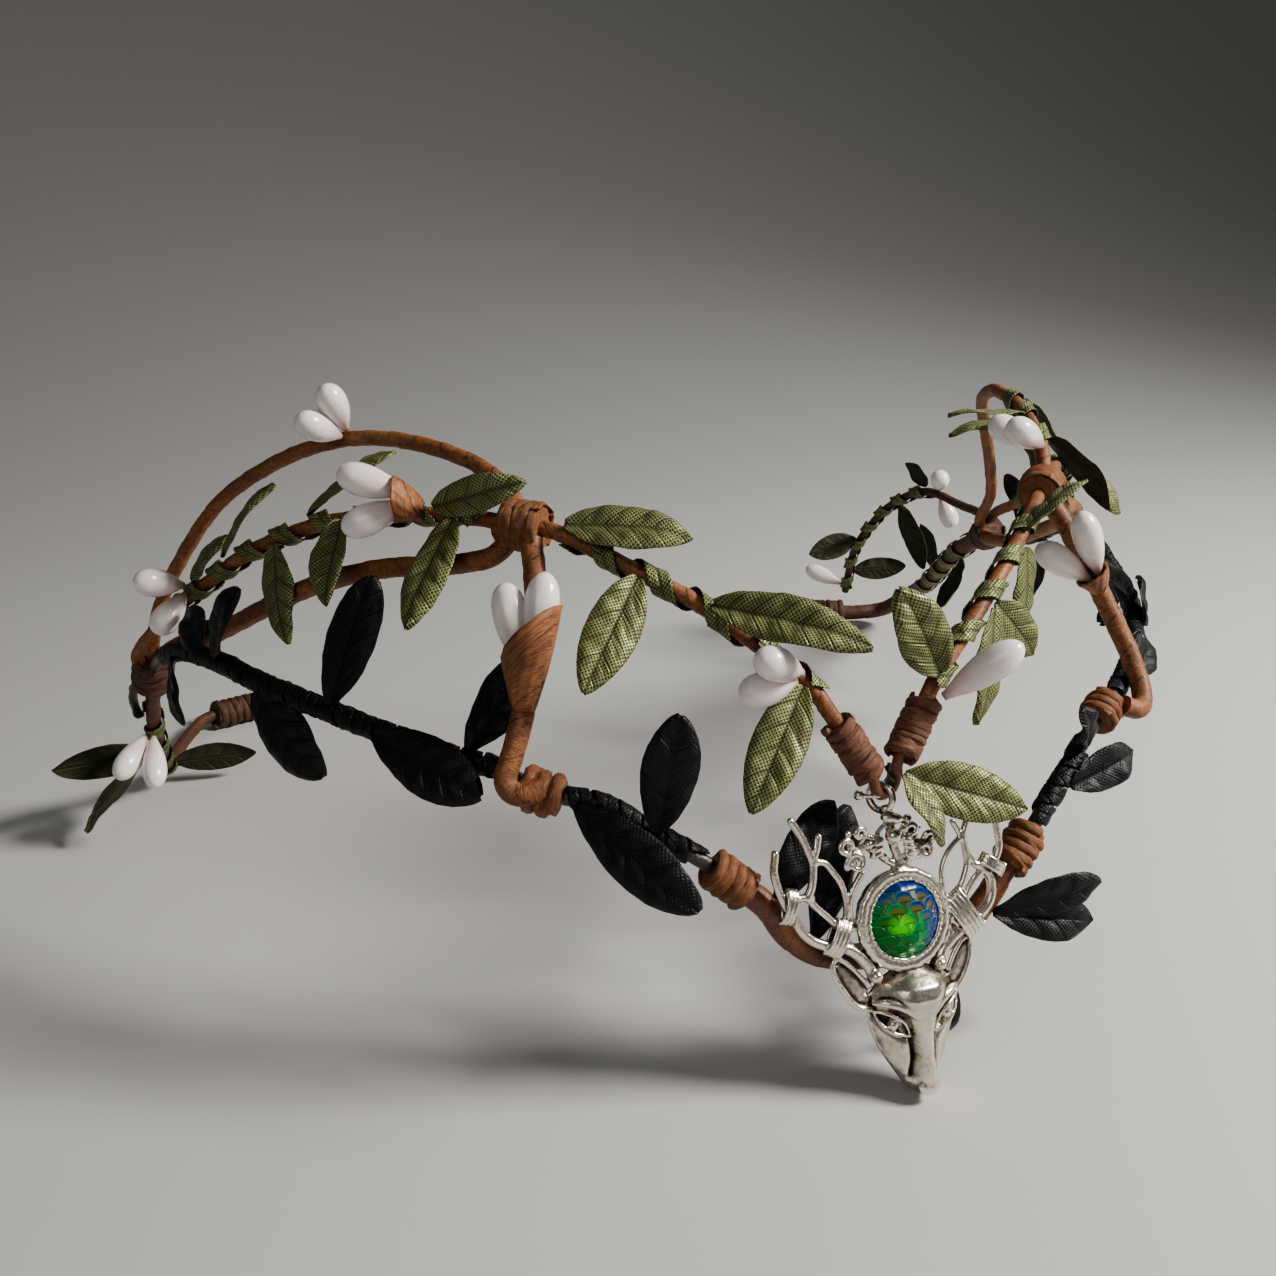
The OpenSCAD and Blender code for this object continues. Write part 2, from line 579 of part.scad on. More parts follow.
// Children stand on the pendant's plane: across, up and forward from the nose's tip
module on_pendant() {
    translate([0, -head_l / 2 - nose_reach, 0])
        rotate([90 - pendant_lean, 0, 0])
            children();
}

module stag_pendant() {
    color(silver)
        on_pendant() {
            stag_head();
            antlers();
            setting();
            filigree();
            bail_ring();
        }
}

module cabochon() {
    color(stone_green)
        on_pendant()
            translate([setting_u, setting_v, stone_seat + stone_gap])
                intersection() {
                    cylinder(h = stone_d, d = stone_d, $fn = 64);
                    translate([0, 0, stone_h - stone_d * stone_curve])
                        sphere(r = stone_d * stone_curve, $fn = 96);
                }
}

taped(band_left, band_d, band_paper);  // lower_band_left
taped(band_right, band_d, band_paper);  // lower_band_right
taped(yoke, yoke_d, yoke_tape);  // front_yoke
taped(bail, bail_wire_d, yoke_tape);  // bail_wire
taped(vine_left, vine_d, tape);  // upper_vine_left
taped(vine_right, vine_d, tape);  // upper_vine_right
taped(arch_left, arch_d, tape);
taped(arch_right, arch_d, tape);
taped(inner_left, inner_d, yoke_tape);  // inner_vine_left
taped(inner_right, inner_d, yoke_tape);  // inner_vine_right
strut(strut_left, 3, strut_left_pips, strut_left_root, 4.6, 4.2);
strut(strut_right, 4, strut_right_pips, strut_right_pips[0], 1, 2.7);
taped(tail_left, tail_d, tail_tape);
taped(tail_right, thick_tail_d, tail_tape);
taped(branch_right, branch_d, rear_tape);
binding(band_left, 0, yoke_d, side_size, winding_tape);  // side_winding_left
binding(band_right, 0, yoke_d, side_size, winding_tape);  // side_winding_right
binding(vine_left, 0, vine_d, upper_size, raffia);  // upper_winding_left
binding(vine_right, 0, vine_d, upper_size, raffia);  // upper_winding_right
binding(band_left, 3.98, band_d, strut_knot_size, winding_tape);  // strut_knot_left
binding(band_right, 3.6, band_d, strut_knot_size, winding_tape);  // strut_knot_right
binding(vine_left, 7, vine_d, junction_size, winding_tape);  // junction_knot_left
binding(vine_right, 6, vine_d, junction_size, winding_tape);  // junction_knot_right
binding(tail_left, 1, tail_d, rear_size, rear_tape);  // rear_knot_left
binding(tail_right, 1, thick_tail_d, rear_size, rear_tape);  // rear_knot_right
binding(tail_left, 10, tail_d, left_coil_size, tail_tape);  // end_coil_left
binding(tail_right, 9, thick_tail_d + coil_ease, right_coil_size, tail_tape);  // end_coil_right
stag_pendant();
cabochon();
green_leaves(vine_left, vine_r, 1, 6, front_left_leaves);  // green_leaves_left_front
green_leaves(vine_left, vine_r, 7.5, 13, rear_left_leaves);  // green_leaves_left_rear
green_leaves(vine_right, vine_r, 1, 5, front_right_leaves);  // green_leaves_right_front
green_leaves(vine_right, vine_r, 7, 11.5, rear_right_leaves);  // green_leaves_right_rear
green_leaves(arch_right, arch_d / 2, 0.8, 3.8, arch_right_leaves);  // green_leaves_arch_right
green_leaves(tail_left, tail_d / 2, 2.5, 6, tail_left_leaves);  // green_leaves_tail_left
green_leaves(tail_right, thick_tail_d / 2, 2.5, 5, tail_right_leaves);  // green_leaves_tail_right
green_leaves(branch_right, branch_d / 2, 2, 6, branch_leaves);  // green_leaves_branch
green_leaves(bail, bail_wire_d / 2, 4.4, 5.4, hanging_leaves);  // bail_leaves
black_leaves(band_left, band_r, 1, 3.5, left_front_black);  // black_leaves_left_front
black_leaves(band_left, band_r, 5, 12, left_rear_black);  // black_leaves_left_rear
black_leaves(band_right, band_r, 1, 2.5, right_front_black);  // black_leaves_right_front
black_leaves(band_right, band_r, 4.5, 13.5, right_rear_black);  // black_leaves_right_rear
black_leaves(yoke, yoke_d / 2, 1, 2.5, left_yoke_leaves);  // yoke_leaves_left
black_leaves(yoke, yoke_d / 2, 4.5, 6.5, right_yoke_leaves);  // yoke_leaves_right
pips(strut_left, 3, pip_stand, strut_left_pips, strut_left_root);  // pips_strut_left
pips(strut_right, 4, pip_stand, strut_right_pips);  // pips_strut_right
pips(arch_left, 4.7, arch_d / 2, arch_left_pips);  // pips_arch_left
pips(arch_right, 0.3, arch_d / 2 + ribbon_t, arch_right_pips);  // pips_arch_right
pips(vine_left, 8.1, cup_stand, vine_left_pips);  // pips_vine_left
pip_cup(vine_left, 8.1, cup_stand, vine_left_pips, vine_left_pips[0], -1.4, 1.8, 1.6, 3.2);  // pip_cap_left
pips(vine_left, 1.45, ribbon_r + 2 * ribbon_gap, front_left_pips);  // pips_front_left
pips(vine_right, 0.75, 2.6, front_right_pip);  // pip_front_right
pips(vine_left, 12.2, ribbon_r, rear_left_pips);  // pips_rear_left
pips(tail_left, 3.1, 1.9, tail_left_pips);  // pips_tail_left
branch_pips();  // pips_branch_top
pips(branch_right, 5.9, 1.65, branch_end_pip);  // pip_branch_end
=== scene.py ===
"""Looks of the woodland headpiece: tape, cloth leaves, pips and the cast pendant over its CAD frame."""
import logging
import math
from dataclasses import dataclass
from enum import Enum
from typing import Any, Optional, Sequence, Union

import bpy
import numpy as np
from mathutils import Matrix, Vector


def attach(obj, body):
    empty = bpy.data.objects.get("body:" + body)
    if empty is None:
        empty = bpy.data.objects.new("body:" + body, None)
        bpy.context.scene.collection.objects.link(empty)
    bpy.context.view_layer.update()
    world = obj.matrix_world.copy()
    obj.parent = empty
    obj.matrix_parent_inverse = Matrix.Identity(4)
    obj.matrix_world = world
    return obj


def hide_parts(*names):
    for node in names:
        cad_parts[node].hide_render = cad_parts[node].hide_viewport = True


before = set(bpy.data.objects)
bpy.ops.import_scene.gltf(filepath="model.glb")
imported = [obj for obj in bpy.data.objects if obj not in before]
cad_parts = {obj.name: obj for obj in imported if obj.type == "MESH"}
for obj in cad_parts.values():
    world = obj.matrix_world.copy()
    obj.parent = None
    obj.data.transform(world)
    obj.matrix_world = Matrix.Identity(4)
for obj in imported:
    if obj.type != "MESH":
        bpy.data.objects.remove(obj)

LOG = logging.getLogger("headpiece")
MM = 0.001
BODY = "root"
Row = Sequence[float]
Colour = tuple[float, float, float]


def unit(v: np.ndarray) -> np.ndarray:
    """The vector, or each row of vectors, at length one."""
    return v / np.maximum(np.linalg.norm(v, axis=-1, keepdims=True), 1e-9)


def eased(x: np.ndarray, low: float, high: float) -> np.ndarray:
    """A smooth step from 0 at low to 1 at high."""
    t = np.clip((x - low) / (high - low), 0, 1)
    return t * t * (3 - 2 * t)


def curved(a: np.ndarray, b: np.ndarray, c: np.ndarray, d: np.ndarray, t: float) -> np.ndarray:
    """A smooth curve's point at a share of the way from b to c, where a comes before and d after.

    Args:
        a, b, c, d: four points in a row.
        t: the share.

    Returns:
        The point.
    """
    return (2 * b + (c - a) * t + (2 * a - 5 * b + 4 * c - d) * t * t
            + (3 * b - a - 3 * c + d) * t ** 3) / 2


def placed(name: str, data: Any) -> bpy.types.Object:
    """A new object in the scene."""
    made = bpy.data.objects.new(name, data)
    bpy.context.scene.collection.objects.link(made)
    return made


def store(mesh: bpy.types.Mesh, name: str, values: np.ndarray) -> None:
    """Stores numbers, or rows of three, at a mesh's points under a name."""
    kind, field = ("FLOAT", "value") if values.ndim == 1 else ("FLOAT_VECTOR", "vector")
    layer = mesh.attributes.new(name, kind, "POINT")
    layer.data.foreach_set(field, values.astype(np.float32).ravel())


def vectors_at(mesh: bpy.types.Mesh, name: str) -> np.ndarray:
    """The rows of three that a mesh's points store under a name."""
    values = np.zeros(len(mesh.vertices) * 3)
    mesh.attributes[name].data.foreach_get("vector", values)
    return values.reshape(-1, 3)


class Signal:
    """A number or colour that varies over a surface, so that sums on it are written as sums."""

    def __init__(self, bench: "Bench", socket: bpy.types.NodeSocket) -> None:
        """Wraps a node's output on its bench."""
        self.bench = bench
        self.socket = socket

    def _sum(self, operation: str, *terms: Any) -> "Signal":
        """One Math node over the terms."""
        return self.bench.node("ShaderNodeMath", {"operation": operation}, dict(enumerate(terms))).signal

    def __add__(self, other: Any) -> "Signal":
        """Sum."""
        return self._sum("ADD", self, other)

    __radd__ = __add__

    def __sub__(self, other: Any) -> "Signal":
        """Difference."""
        return self._sum("SUBTRACT", self, other)

    def __rsub__(self, other: Any) -> "Signal":
        """Difference, reflected."""
        return self._sum("SUBTRACT", other, self)

    def __mul__(self, other: Any) -> "Signal":
        """Product."""
        return self._sum("MULTIPLY", self, other)

    __rmul__ = __mul__

    def __truediv__(self, other: Any) -> "Signal":
        """Quotient."""
        return self._sum("DIVIDE", self, other)

    def __pow__(self, other: float) -> "Signal":
        """Power."""
        return self._sum("POWER", self, other)

    def fract(self) -> "Signal":
        """Part after the decimal point."""
        return self._sum("FRACT", self)

    def size(self) -> "Signal":
        """Absolute value."""
        return self._sum("ABSOLUTE", self)

    def cosine(self) -> "Signal":
        """Cosine of the value in radians."""
        return self._sum("COSINE", self)

    def angle_over(self, other: "Signal") -> "Signal":
        """Angle, in turns, of the point whose x is the other signal."""
        return self._sum("ARCTAN2", self, other) * (0.5 / math.pi)

    def step(self, low: float, high: float) -> "Signal":
        """Smooth step from 0 at low to 1 at high."""
        made = self.bench.node("ShaderNodeMapRange", {"interpolation_type": "SMOOTHSTEP"},
                               {"Value": self, "From Min": low, "From Max": high})
        return made.signal


class Made:
    """A node just set on a bench."""

    def __init__(self, bench: "Bench", node: bpy.types.Node) -> None:
        """Keeps the node with its bench."""
        self.bench = bench
        self.node = node

    def out(self, name: Union[str, int]) -> Signal:
        """One of the node's outputs."""
        return Signal(self.bench, self.node.outputs[name])

    @property
    def signal(self) -> Signal:
        """The first output that is switched on."""
        return Signal(self.bench, next(s for s in self.node.outputs if s.enabled))


class Bench:
    """Where the nodes of one tree are set, for a finish or for geometry."""

    def __init__(self, tree: bpy.types.NodeTree) -> None:
        """Takes an empty node tree."""
        self.tree = tree

    def node(self, kind: str, settings: Optional[dict[str, Any]] = None,
             sockets: Optional[dict[Union[str, int], Any]] = None) -> Made:
        """Sets one node.

        Args:
            kind: the node's type.
            settings: its properties, and the stops of a ramp as (place, colour) pairs.
            sockets: values or signals for its inputs, by name or number.

        Returns:
            The node on this bench.
        """
        made = self.tree.nodes.new(kind)
        for key, value in (settings or {}).items():
            if key == "stops":
                ramp = made.color_ramp
                while len(ramp.elements) < len(value):
                    ramp.elements.new(0.5)
                for element, (place, colour) in zip(ramp.elements, value):
                    element.position = place
                    element.color = (*colour, 1)
            else:
                setattr(made, key, value)
        for key, value in (sockets or {}).items():
            self.plug(made.inputs[key], value)
        return Made(self, made)

    def plug(self, socket: bpy.types.NodeSocket, value: Any) -> None:
        """Feeds a socket with a value or a signal.

        Args:
            socket: the input.
            value: a plain value, a node or a signal.
        """
        if isinstance(value, Made):
            value = value.signal
        if isinstance(value, Signal):
            self.tree.links.new(value.socket, socket)
        elif isinstance(value, tuple) and len(value) == 3 and socket.type == "RGBA":
            socket.default_value = (*value, 1)
        else:
            socket.default_value = value

    def noise(self, vector: Signal, scale: float, detail: float = 3.0, rough: float = 0.5) -> Signal:
        """A cloudy value from 0 to 1 at a scale."""
        return self.node("ShaderNodeTexNoise", None, {"Vector": vector, "Scale": scale, "Detail": detail,
                                                      "Roughness": rough}).out(0)

    def attribute(self, name: str) -> Made:
        """What a piece's mesh stores under a name."""
        return self.node("ShaderNodeAttribute", {"attribute_name": name})

    def vector(self, x: Any, y: Any, z: Any) -> Signal:
        """Three numbers as one vector."""
        return self.node("ShaderNodeCombineXYZ", None, {0: x, 1: y, 2: z}).signal

    def split(self, vector: Signal) -> tuple[Signal, Signal, Signal]:
        """One vector as three numbers."""
        made = self.node("ShaderNodeSeparateXYZ", None, {0: vector})
        return made.out(0), made.out(1), made.out(2)

    def ramp(self, factor: Signal, stops: Sequence[tuple[float, Colour]]) -> Signal:
        """A colour picked from stops."""
        return self.node("ShaderNodeValToRGB", {"stops": stops}, {"Fac": factor}).out("Color")

    def mix(self, factor: Any, a: Any, b: Any) -> Signal:
        """Colour a going over to colour b."""
        return self.node("ShaderNodeMix", {"data_type": "RGBA"}, {"Factor": factor, 6: a, 7: b}).out(2)


LAID: dict[str, bpy.types.Material] = {}


def between(first: Colour, last: Colour, share: float) -> Colour:
    """The colour at a share of the way from the first to the last."""
    return tuple((1 - share) * a + share * b for a, b in zip(first, last))


def dimmed(colour: Colour, share: float) -> Colour:
    """The colour at a share of its strength."""
    return tuple(share * c for c in colour)


@dataclass(frozen=True)
class Finish:
    """A surface finish: a name, and the material that it lays."""

    name: str

    def paint(self, bench: Bench) -> dict[str, Any]:
        """The main shader's sockets, and "relief" in metres for the bump."""
        raise NotImplementedError

    def material(self) -> bpy.types.Material:
        """Lays the finish as a material, once for each name.

        Returns:
            The material.
        """
        if self.name in LAID:
            return LAID[self.name]
        material = LAID[self.name] = bpy.data.materials.new(self.name + "_finish")
        material.use_nodes = True
        material.node_tree.nodes.clear()
        bench = Bench(material.node_tree)
        sockets = self.paint(bench)
        relief = sockets.pop("relief", None)
        if relief is not None:
            sockets["Normal"] = bench.node("ShaderNodeBump", None, {
                "Height": relief, "Distance": 1.0, "Strength": 1.0}).signal
        shader = bench.node("ShaderNodeBsdfPrincipled", None, sockets)
        bench.node("ShaderNodeOutputMaterial", None, {"Surface": shader})
        return material


@dataclass(frozen=True)
class PaperTape(Finish):
    """Crepe paper tape in a spiral over a wire."""

    light: Colour = (0.42, 0.17, 0.058)
    dark: Colour = (0.06, 0.017, 0.006)
    lap: float = 5.2 * MM
    gloss: float = 0.0
    crepe_rate: float = 3400.0
    wrinkle_rate: float = 800.0
    patch_rate: float = 160.0
    middle: float = 0.58

    def paint(self, bench: Bench) -> dict[str, Any]:
        """Laps of tape with fine wrinkles along the spiral, and a thin painted shade line at each lap's edge.

        Args:
            bench: where its nodes are set.

        Returns:
            The main shader's sockets, with the relief.
        """
        along = bench.attribute("along").out("Fac")
        x, y, _ = bench.split(bench.attribute("ring").out("Vector"))
        lap = (along / self.lap - y.angle_over(x)).fract()
        crepe = bench.noise(bench.vector(x * 1.3, y * 1.3, along * self.crepe_rate), 1.5, 3.0, 0.6)
        wrinkle = bench.noise(bench.vector(x * 1.1, y * 1.1, along * self.wrinkle_rate), 1.6, 4.0, 0.65)
        patch = bench.noise(bench.vector(x * 0.6, y * 0.6, along * self.patch_rate), 1.3, 2.0)
        # Painted shade: a thin dark line on the low side of each lap's step, just below the raised edge of
        # the neighbouring lap.
        edge = 1 - lap.step(0.0, 0.07)
        tone = crepe * 0.75 + wrinkle * 0.5 + patch * 0.55 - edge * 0.25 - 0.38
        colour = bench.ramp(tone, [(0.25, self.dark), (0.52, between(self.light, self.dark, self.middle)),
                                   (0.85, self.light)])
        return {"Base Color": colour, "Roughness": 0.66 - 0.25 * self.gloss - patch * 0.12,
                "Coat Weight": 0.1 + 0.3 * self.gloss, "Coat Roughness": 0.35,
                "relief": (crepe * 0.1 + wrinkle * 0.12 + lap * 0.04) * MM}


@dataclass(frozen=True)
class TwistedPaper(Finish):
    """Crumpled, twisted paper cord."""

    light: Colour = (0.4, 0.2, 0.12)
    dark: Colour = (0.085, 0.028, 0.014)
    fibre_rate: float = 700.0
    crumple_rate: float = 900.0
    middle: float = 0.55

    def paint(self, bench: Bench) -> dict[str, Any]:
        """Fibres that run along the strand, with paler crests.

        Args:
            bench: where its nodes are set.

        Returns:
            The main shader's sockets, with the relief.
        """
        strand = bench.attribute("strand").out("Fac")
        x, y, _ = bench.split(bench.attribute("ring").out("Vector"))
        fibre = bench.noise(bench.vector(x * 6.0, y * 6.0, strand * self.fibre_rate), 1.4, 4.0, 0.7)
        crumple = bench.noise(bench.vector(x * 1.4, y * 1.4, strand * self.crumple_rate), 1.2, 3.0)
        tone = fibre * 0.85 + crumple * 0.6 - 0.22
        colour = bench.ramp(tone, [(0.22, self.dark), (0.5, between(self.light, self.dark, self.middle)),
                                   (0.78, self.light)])
        return {"Base Color": colour, "Roughness": 0.5 + fibre * 0.3, "Coat Weight": 0.12,
                "Coat Roughness": 0.4, "relief": (fibre * 0.22 + crumple * 0.2) * MM}


@dataclass(frozen=True)
class LeafCloth(Finish):
    """Stiffened cloth of a leaf or ribbon, with its weave; its sizes are in millimetres."""

    ground: Colour = (0.009, 0.012, 0.004)
    thread: Colour = (0.26, 0.275, 0.11)
    # back: a darker copy of the cloth's colour for its underside, as painted shade.
    back: Colour = (0.04, 0.044, 0.015)
    metal: float = 0.5
    pitch: float = 0.41
    shine: float = 0.44
    weave_depth: float = 0.05
    specular: float = 0.5
    vein_pitch: float = 3.3
    vein_slant: float = 0.9
    vein_depth: float = 0.12

    def veins(self, x: Signal, y: Signal) -> Signal:
        """Veins pressed into the cloth: one down the middle, and slanted ones beside it.

        Args:
            x: place along the leaf.
            y: place across it.

        Returns:
            From 0 between the veins to 1 in one.
        """
        aside = y.size()
        middle = 1 - aside.step(0.08, 0.32)
        side = 1 - (((x - aside * self.vein_slant) / self.vein_pitch).fract() - 0.5).size().step(0.02, 0.085)
        return middle + side * (1 - middle) * 0.8

    def paint(self, bench: Bench) -> dict[str, Any]:
        """Raised threads in a fine lattice with pressed veins, darkened as painted shade, and a plainer back
        that is darker as painted shade on the underside.

        Args:
            bench: where its nodes are set.

        Returns:
            The main shader's sockets, with the relief.
        """
        x, y, face = bench.split(bench.attribute("cloth").out("Vector"))
        turn = 2 * math.pi / self.pitch / math.sqrt(2)
        lattice = ((x + y) * turn).cosine() + ((x - y) * turn).cosine()
        dot = lattice.step(-1.3, 0.5)
        place = bench.vector(x, y, face * 3.0)
        patch = bench.noise(place, 0.22, 2.0)
        fleck = bench.noise(place, 1.7, 3.0, 0.7)
        front = face.step(-0.2, 0.2)
        lit = dot * (0.5 + patch * 0.9) * (0.5 + fleck)
        vein = self.veins(x, y)
        # Painted shade: the thread colour is darkened along the pressed veins.
        top = bench.mix(lit * (1 - vein * 0.5), self.ground, self.thread)
        # Painted shade: the underside takes the darker back colour.
        rear = bench.mix(dot * 0.5, dimmed(self.back, 0.5), self.back)
        return {"Base Color": bench.mix(front, rear, top), "Metallic": dot * self.metal,
                "Specular IOR Level": self.specular,
                "Roughness": self.shine + fleck * 0.25 - dot * 0.08,
                "relief": (dot * self.weave_depth + fleck * 0.02 - vein * self.vein_depth) * MM}


@dataclass(frozen=True)
class PipGloss(Finish):
    """Glossy flower pip, pale with a faint blush."""

    cloud_rate: float = 420.0

    def paint(self, bench: Bench) -> dict[str, Any]:
        """Blush towards the neck under a clear skin.

        Args:
            bench: where its nodes are set.

        Returns:
            The main shader's sockets, with the relief.
        """
        tall = bench.attribute("tall").out("Fac")
        place = bench.node("ShaderNodeTexCoord").out("Object")
        cloud = bench.noise(place, self.cloud_rate, 3.0)
        tone = tall * 0.8 + cloud * 0.3
        colour = bench.ramp(tone, [(0.05, (0.3, 0.17, 0.11)), (0.3, (0.7, 0.56, 0.53)),
                                   (0.6, (0.8, 0.72, 0.71)), (0.95, (0.84, 0.78, 0.78))])
        return {"Base Color": colour, "Roughness": 0.2 + cloud * 0.12, "Coat Weight": 0.5,
                "Coat Roughness": 0.1, "Subsurface Weight": 0.15, "Subsurface Scale": 0.002,
                "relief": cloud * 0.08 * MM}


@dataclass(frozen=True)
class AntiqueSilver(Finish):
    """Cast silver, dark in its hollows and bright on its crests."""

    grain_rate: float = 1900.0
    cloud_rate: float = 260.0

    def paint(self, bench: Bench) -> dict[str, Any]:
        """Patina by the stored hollow, with fine casting grain.

        Args:
            bench: where its nodes are set.

        Returns:
            The main shader's sockets, with the relief.
        """
        hollow = bench.attribute("hollow").out("Fac")
        place = bench.node("ShaderNodeTexCoord").out("Object")
        grain = bench.noise(place, self.grain_rate, 3.0, 0.6)
        cloud = bench.noise(place, self.cloud_rate, 3.0)
        tone = hollow + (cloud - 0.5) * 0.35 + (grain - 0.5) * 0.25
        colour = bench.ramp(tone, [(0.24, (0.84, 0.77, 0.68)), (0.42, (0.6, 0.54, 0.46)),
                                   (0.58, (0.12, 0.1, 0.08)), (0.75, (0.012, 0.01, 0.008))])
        return {"Base Color": colour, "Metallic": 1 - tone.step(0.55, 1.0) * 0.4,
                "Roughness": 0.2 + tone.step(0.3, 0.8) * 0.4 + grain * 0.1,
                "relief": (grain * 0.04 + cloud * 0.12) * MM}


@dataclass(frozen=True)
class ScaleStone(Finish):
    """Domed glass with a lattice of scales under it; its sizes are in millimetres."""

    scale: float = 2.7
    tall: float = 1.35
    first_row: float = 8.0
    glow_u: float = -1.7
    glow_v: float = -0.1
    edge: float = 5.0
    green: Colour = (0.07, 0.62, 0.012)
    olive: Colour = (0.11, 0.09, 0.01)
    shade: Colour = (0.001, 0.02, 0.012)
    # line: colour of the painted highlight along each scale's top edge.
    line: Colour = (0.04, 0.5, 0.2)

    def scales(self, bench: Bench, u: Signal, v: Signal) -> tuple[Signal, Signal]:
        """The lattice of overlapping scales.

        Args:
            bench: where its nodes are set.
            u: place across the stone.
            v: place up the stone.

        Returns:
            How far down its own scale each place is, and each scale's own chance value.
        """
        row = self.first_row - v / self.tall
        down = row.fract()
        odd = ((row - down) * 0.5).fract()
        across = ((u / self.scale + odd + self.first_row + 0.25).fract() - 0.5).size() * 2.0
        arch = (1.0 - across * across).step(0.0, 1.0) ** 0.5
        rise = down - (1.0 - arch) * 0.9
        own = rise.step(-0.02, 0.02)
        part = own * rise + (1.0 - own) * (rise + 1.0)
        name = bench.vector((row - down) + own * 3.7, (u / self.scale + odd) * 0.4, own)
        return part, bench.noise(name, 1.9, 1.0)

    def paint(self, bench: Bench) -> dict[str, Any]:
        """Rows of overlapping scales, green in the middle and blue at the top and the right, with a painted
        glowing patch left of the middle, painted shade low on each scale, a painted highlight along each
        scale's top edge and a faint painted glow over the whole stone.

        Args:
            bench: where its nodes are set.

        Returns:
            The main shader's sockets, with the relief.
        """
        u, v, _ = bench.split(bench.attribute("stone").out("Vector"))
        part, chance = self.scales(bench, u, v)
        rim = 1.0 - (part - 0.04).size().step(0.0, 0.09)
        away = (u * u + v * v) ** 0.5
        side = u * 0.12 + v * 0.09
        hue = bench.ramp(away / 9.0 + side + (chance - 0.5) * 0.7 + 0.2, [
            (0.1, (0.003, 0.12, 0.012)), (0.36, (0.003, 0.19, 0.045)), (0.58, (0.001, 0.1, 0.07)),
            (0.76, (0.0, 0.04, 0.11)), (0.95, (0.0, 0.014, 0.13))])
        right, above = u - self.glow_u, v - self.glow_v
        # Painted light: a glowing patch left of the middle.
        glow = 1 - (right * right + above * above * 1.6).step(0.3, 4.5)
        hue = bench.mix(glow * 0.9, hue, self.green)
        inside = 1 - (away / self.edge).step(0.75, 0.92)
        warm = (v * 0.3 + 0.35).step(0.25, 0.75) * inside * part.step(0.25, 0.6)
        hue = bench.mix(warm * 0.8, hue, self.olive)
        hue = bench.mix(part.step(0.75, 1.0) * 0.8, hue, self.shade)
        # Painted highlight: a paler line along each scale's top edge.
        hue = bench.mix(rim * 0.35, hue, self.line)
        # Painted light: the stone gives off a faint glow of its own colour.
        return {"Base Color": hue, "Roughness": 0.16, "Specular IOR Level": 0.22,
                "Coat Weight": 0.05, "Coat Roughness": 0.04, "Emission Color": hue, "Emission Strength": 0.2,
                "relief": (part * -0.16 + rim * 0.03) * MM}


@dataclass(frozen=True)
class Plaster(Finish):
    """Matt pale floor."""

    tint: Colour = (0.5, 0.495, 0.485)

    def paint(self, bench: Bench) -> dict[str, Any]:
        """A trace of cloud in an even tone."""
        cloud = bench.noise(bench.node("ShaderNodeTexCoord").out("Object"), 3.0, 2.0)
        return {"Base Color": bench.mix(cloud * 0.08, self.tint, dimmed(self.tint, 0.9)),
                "Roughness": 0.75}


class Tape(Enum):
    """Paper tapes by where they are used."""

    CARAMEL = PaperTape("caramel_tape")
    YOKE = PaperTape("yoke_tape", light=(0.27, 0.095, 0.032), dark=(0.06, 0.018, 0.008), gloss=0.6)
    BAND = PaperTape("band_paper", light=(0.11, 0.07, 0.055), dark=(0.007, 0.005, 0.005), gloss=0.9)
    REAR = PaperTape("rear_tape", light=(0.1, 0.042, 0.02), dark=(0.02, 0.008, 0.005))
    TAIL = PaperTape("tail_tape", light=(0.16, 0.066, 0.03), dark=(0.03, 0.011, 0.006))


class Cord(Enum):
    """Paper cords by where they are wound."""

    SIDE = TwistedPaper("side_cord", light=(0.4, 0.16, 0.055), dark=(0.06, 0.016, 0.006))
    RAFFIA = TwistedPaper("raffia_cord", light=(0.38, 0.16, 0.085), dark=(0.035, 0.011, 0.006))
    REAR = TwistedPaper("rear_cord", light=(0.15, 0.062, 0.032), dark=(0.025, 0.009, 0.005))


class Cloth(Enum):
    """Leaf cloths."""

    GREEN = LeafCloth("green_cloth")
    # The back colour here, as in every cloth, is painted shade on the undersides.
    BLACK = LeafCloth("black_satin", ground=(0.001, 0.001, 0.0014), thread=(0.005, 0.0053, 0.0075),
                      back=(0.003, 0.003, 0.004), metal=0.0, shine=0.4, weave_depth=0.045, specular=0.35)


class Shell:
    """Collects points, faces and stored values in millimetres, then makes one piece of them."""

    def __init__(self) -> None:
        """Starts empty."""
        self.points: list[np.ndarray] = []
        self.faces: list[tuple[int, ...]] = []
        self.stored: dict[str, list[np.ndarray]] = {}
        self.count = 0

    def add(self, points: np.ndarray, faces: Sequence[Sequence[int]], **stored: np.ndarray) -> None:
        """Adds a closed skin with the values that it stores at its points.

        Args:
            points: its points.
            faces: its faces.
            stored: values by name.
        """
        self.points.append(points)
        self.faces += [tuple(int(i) + self.count for i in face) for face in faces]
        for name, values in stored.items():
            self.stored.setdefault(name, []).append(np.asarray(values, float))
        self.count += len(points)

    def make(self, name: str, finish: Finish) -> bpy.types.Object:
        """Makes the piece.

        Args:
            name: the piece's name.
            finish: what it is dressed in.

        Returns:
            The piece, in metres.
        """
        mesh = bpy.data.meshes.new(name)
        mesh.from_pydata((np.concatenate(self.points) * MM).tolist(), [], self.faces)
        for key, parts in self.stored.items():
            store(mesh, key, np.concatenate(parts))
        mesh.shade_smooth()
        mesh.materials.append(finish.material())
        return placed(name, mesh)


def tube_faces(rings: int, sides: int) -> list[tuple[int, ...]]:
    """Faces of a tube whose rings follow each other, with its two ends closed.

    Args:
        rings: how many rings it has.
        sides: points of a ring.

    Returns:
        Faces over the points, ring by ring.
    """
    starts = range(0, (rings - 1) * sides, sides)
    faces = [(i + k, i + (k + 1) % sides, i + sides + (k + 1) % sides, i + sides + k)
             for i in starts for k in range(sides)]
    return [*faces, tuple(reversed(range(sides))), tuple((rings - 1) * sides + k for k in range(sides))]


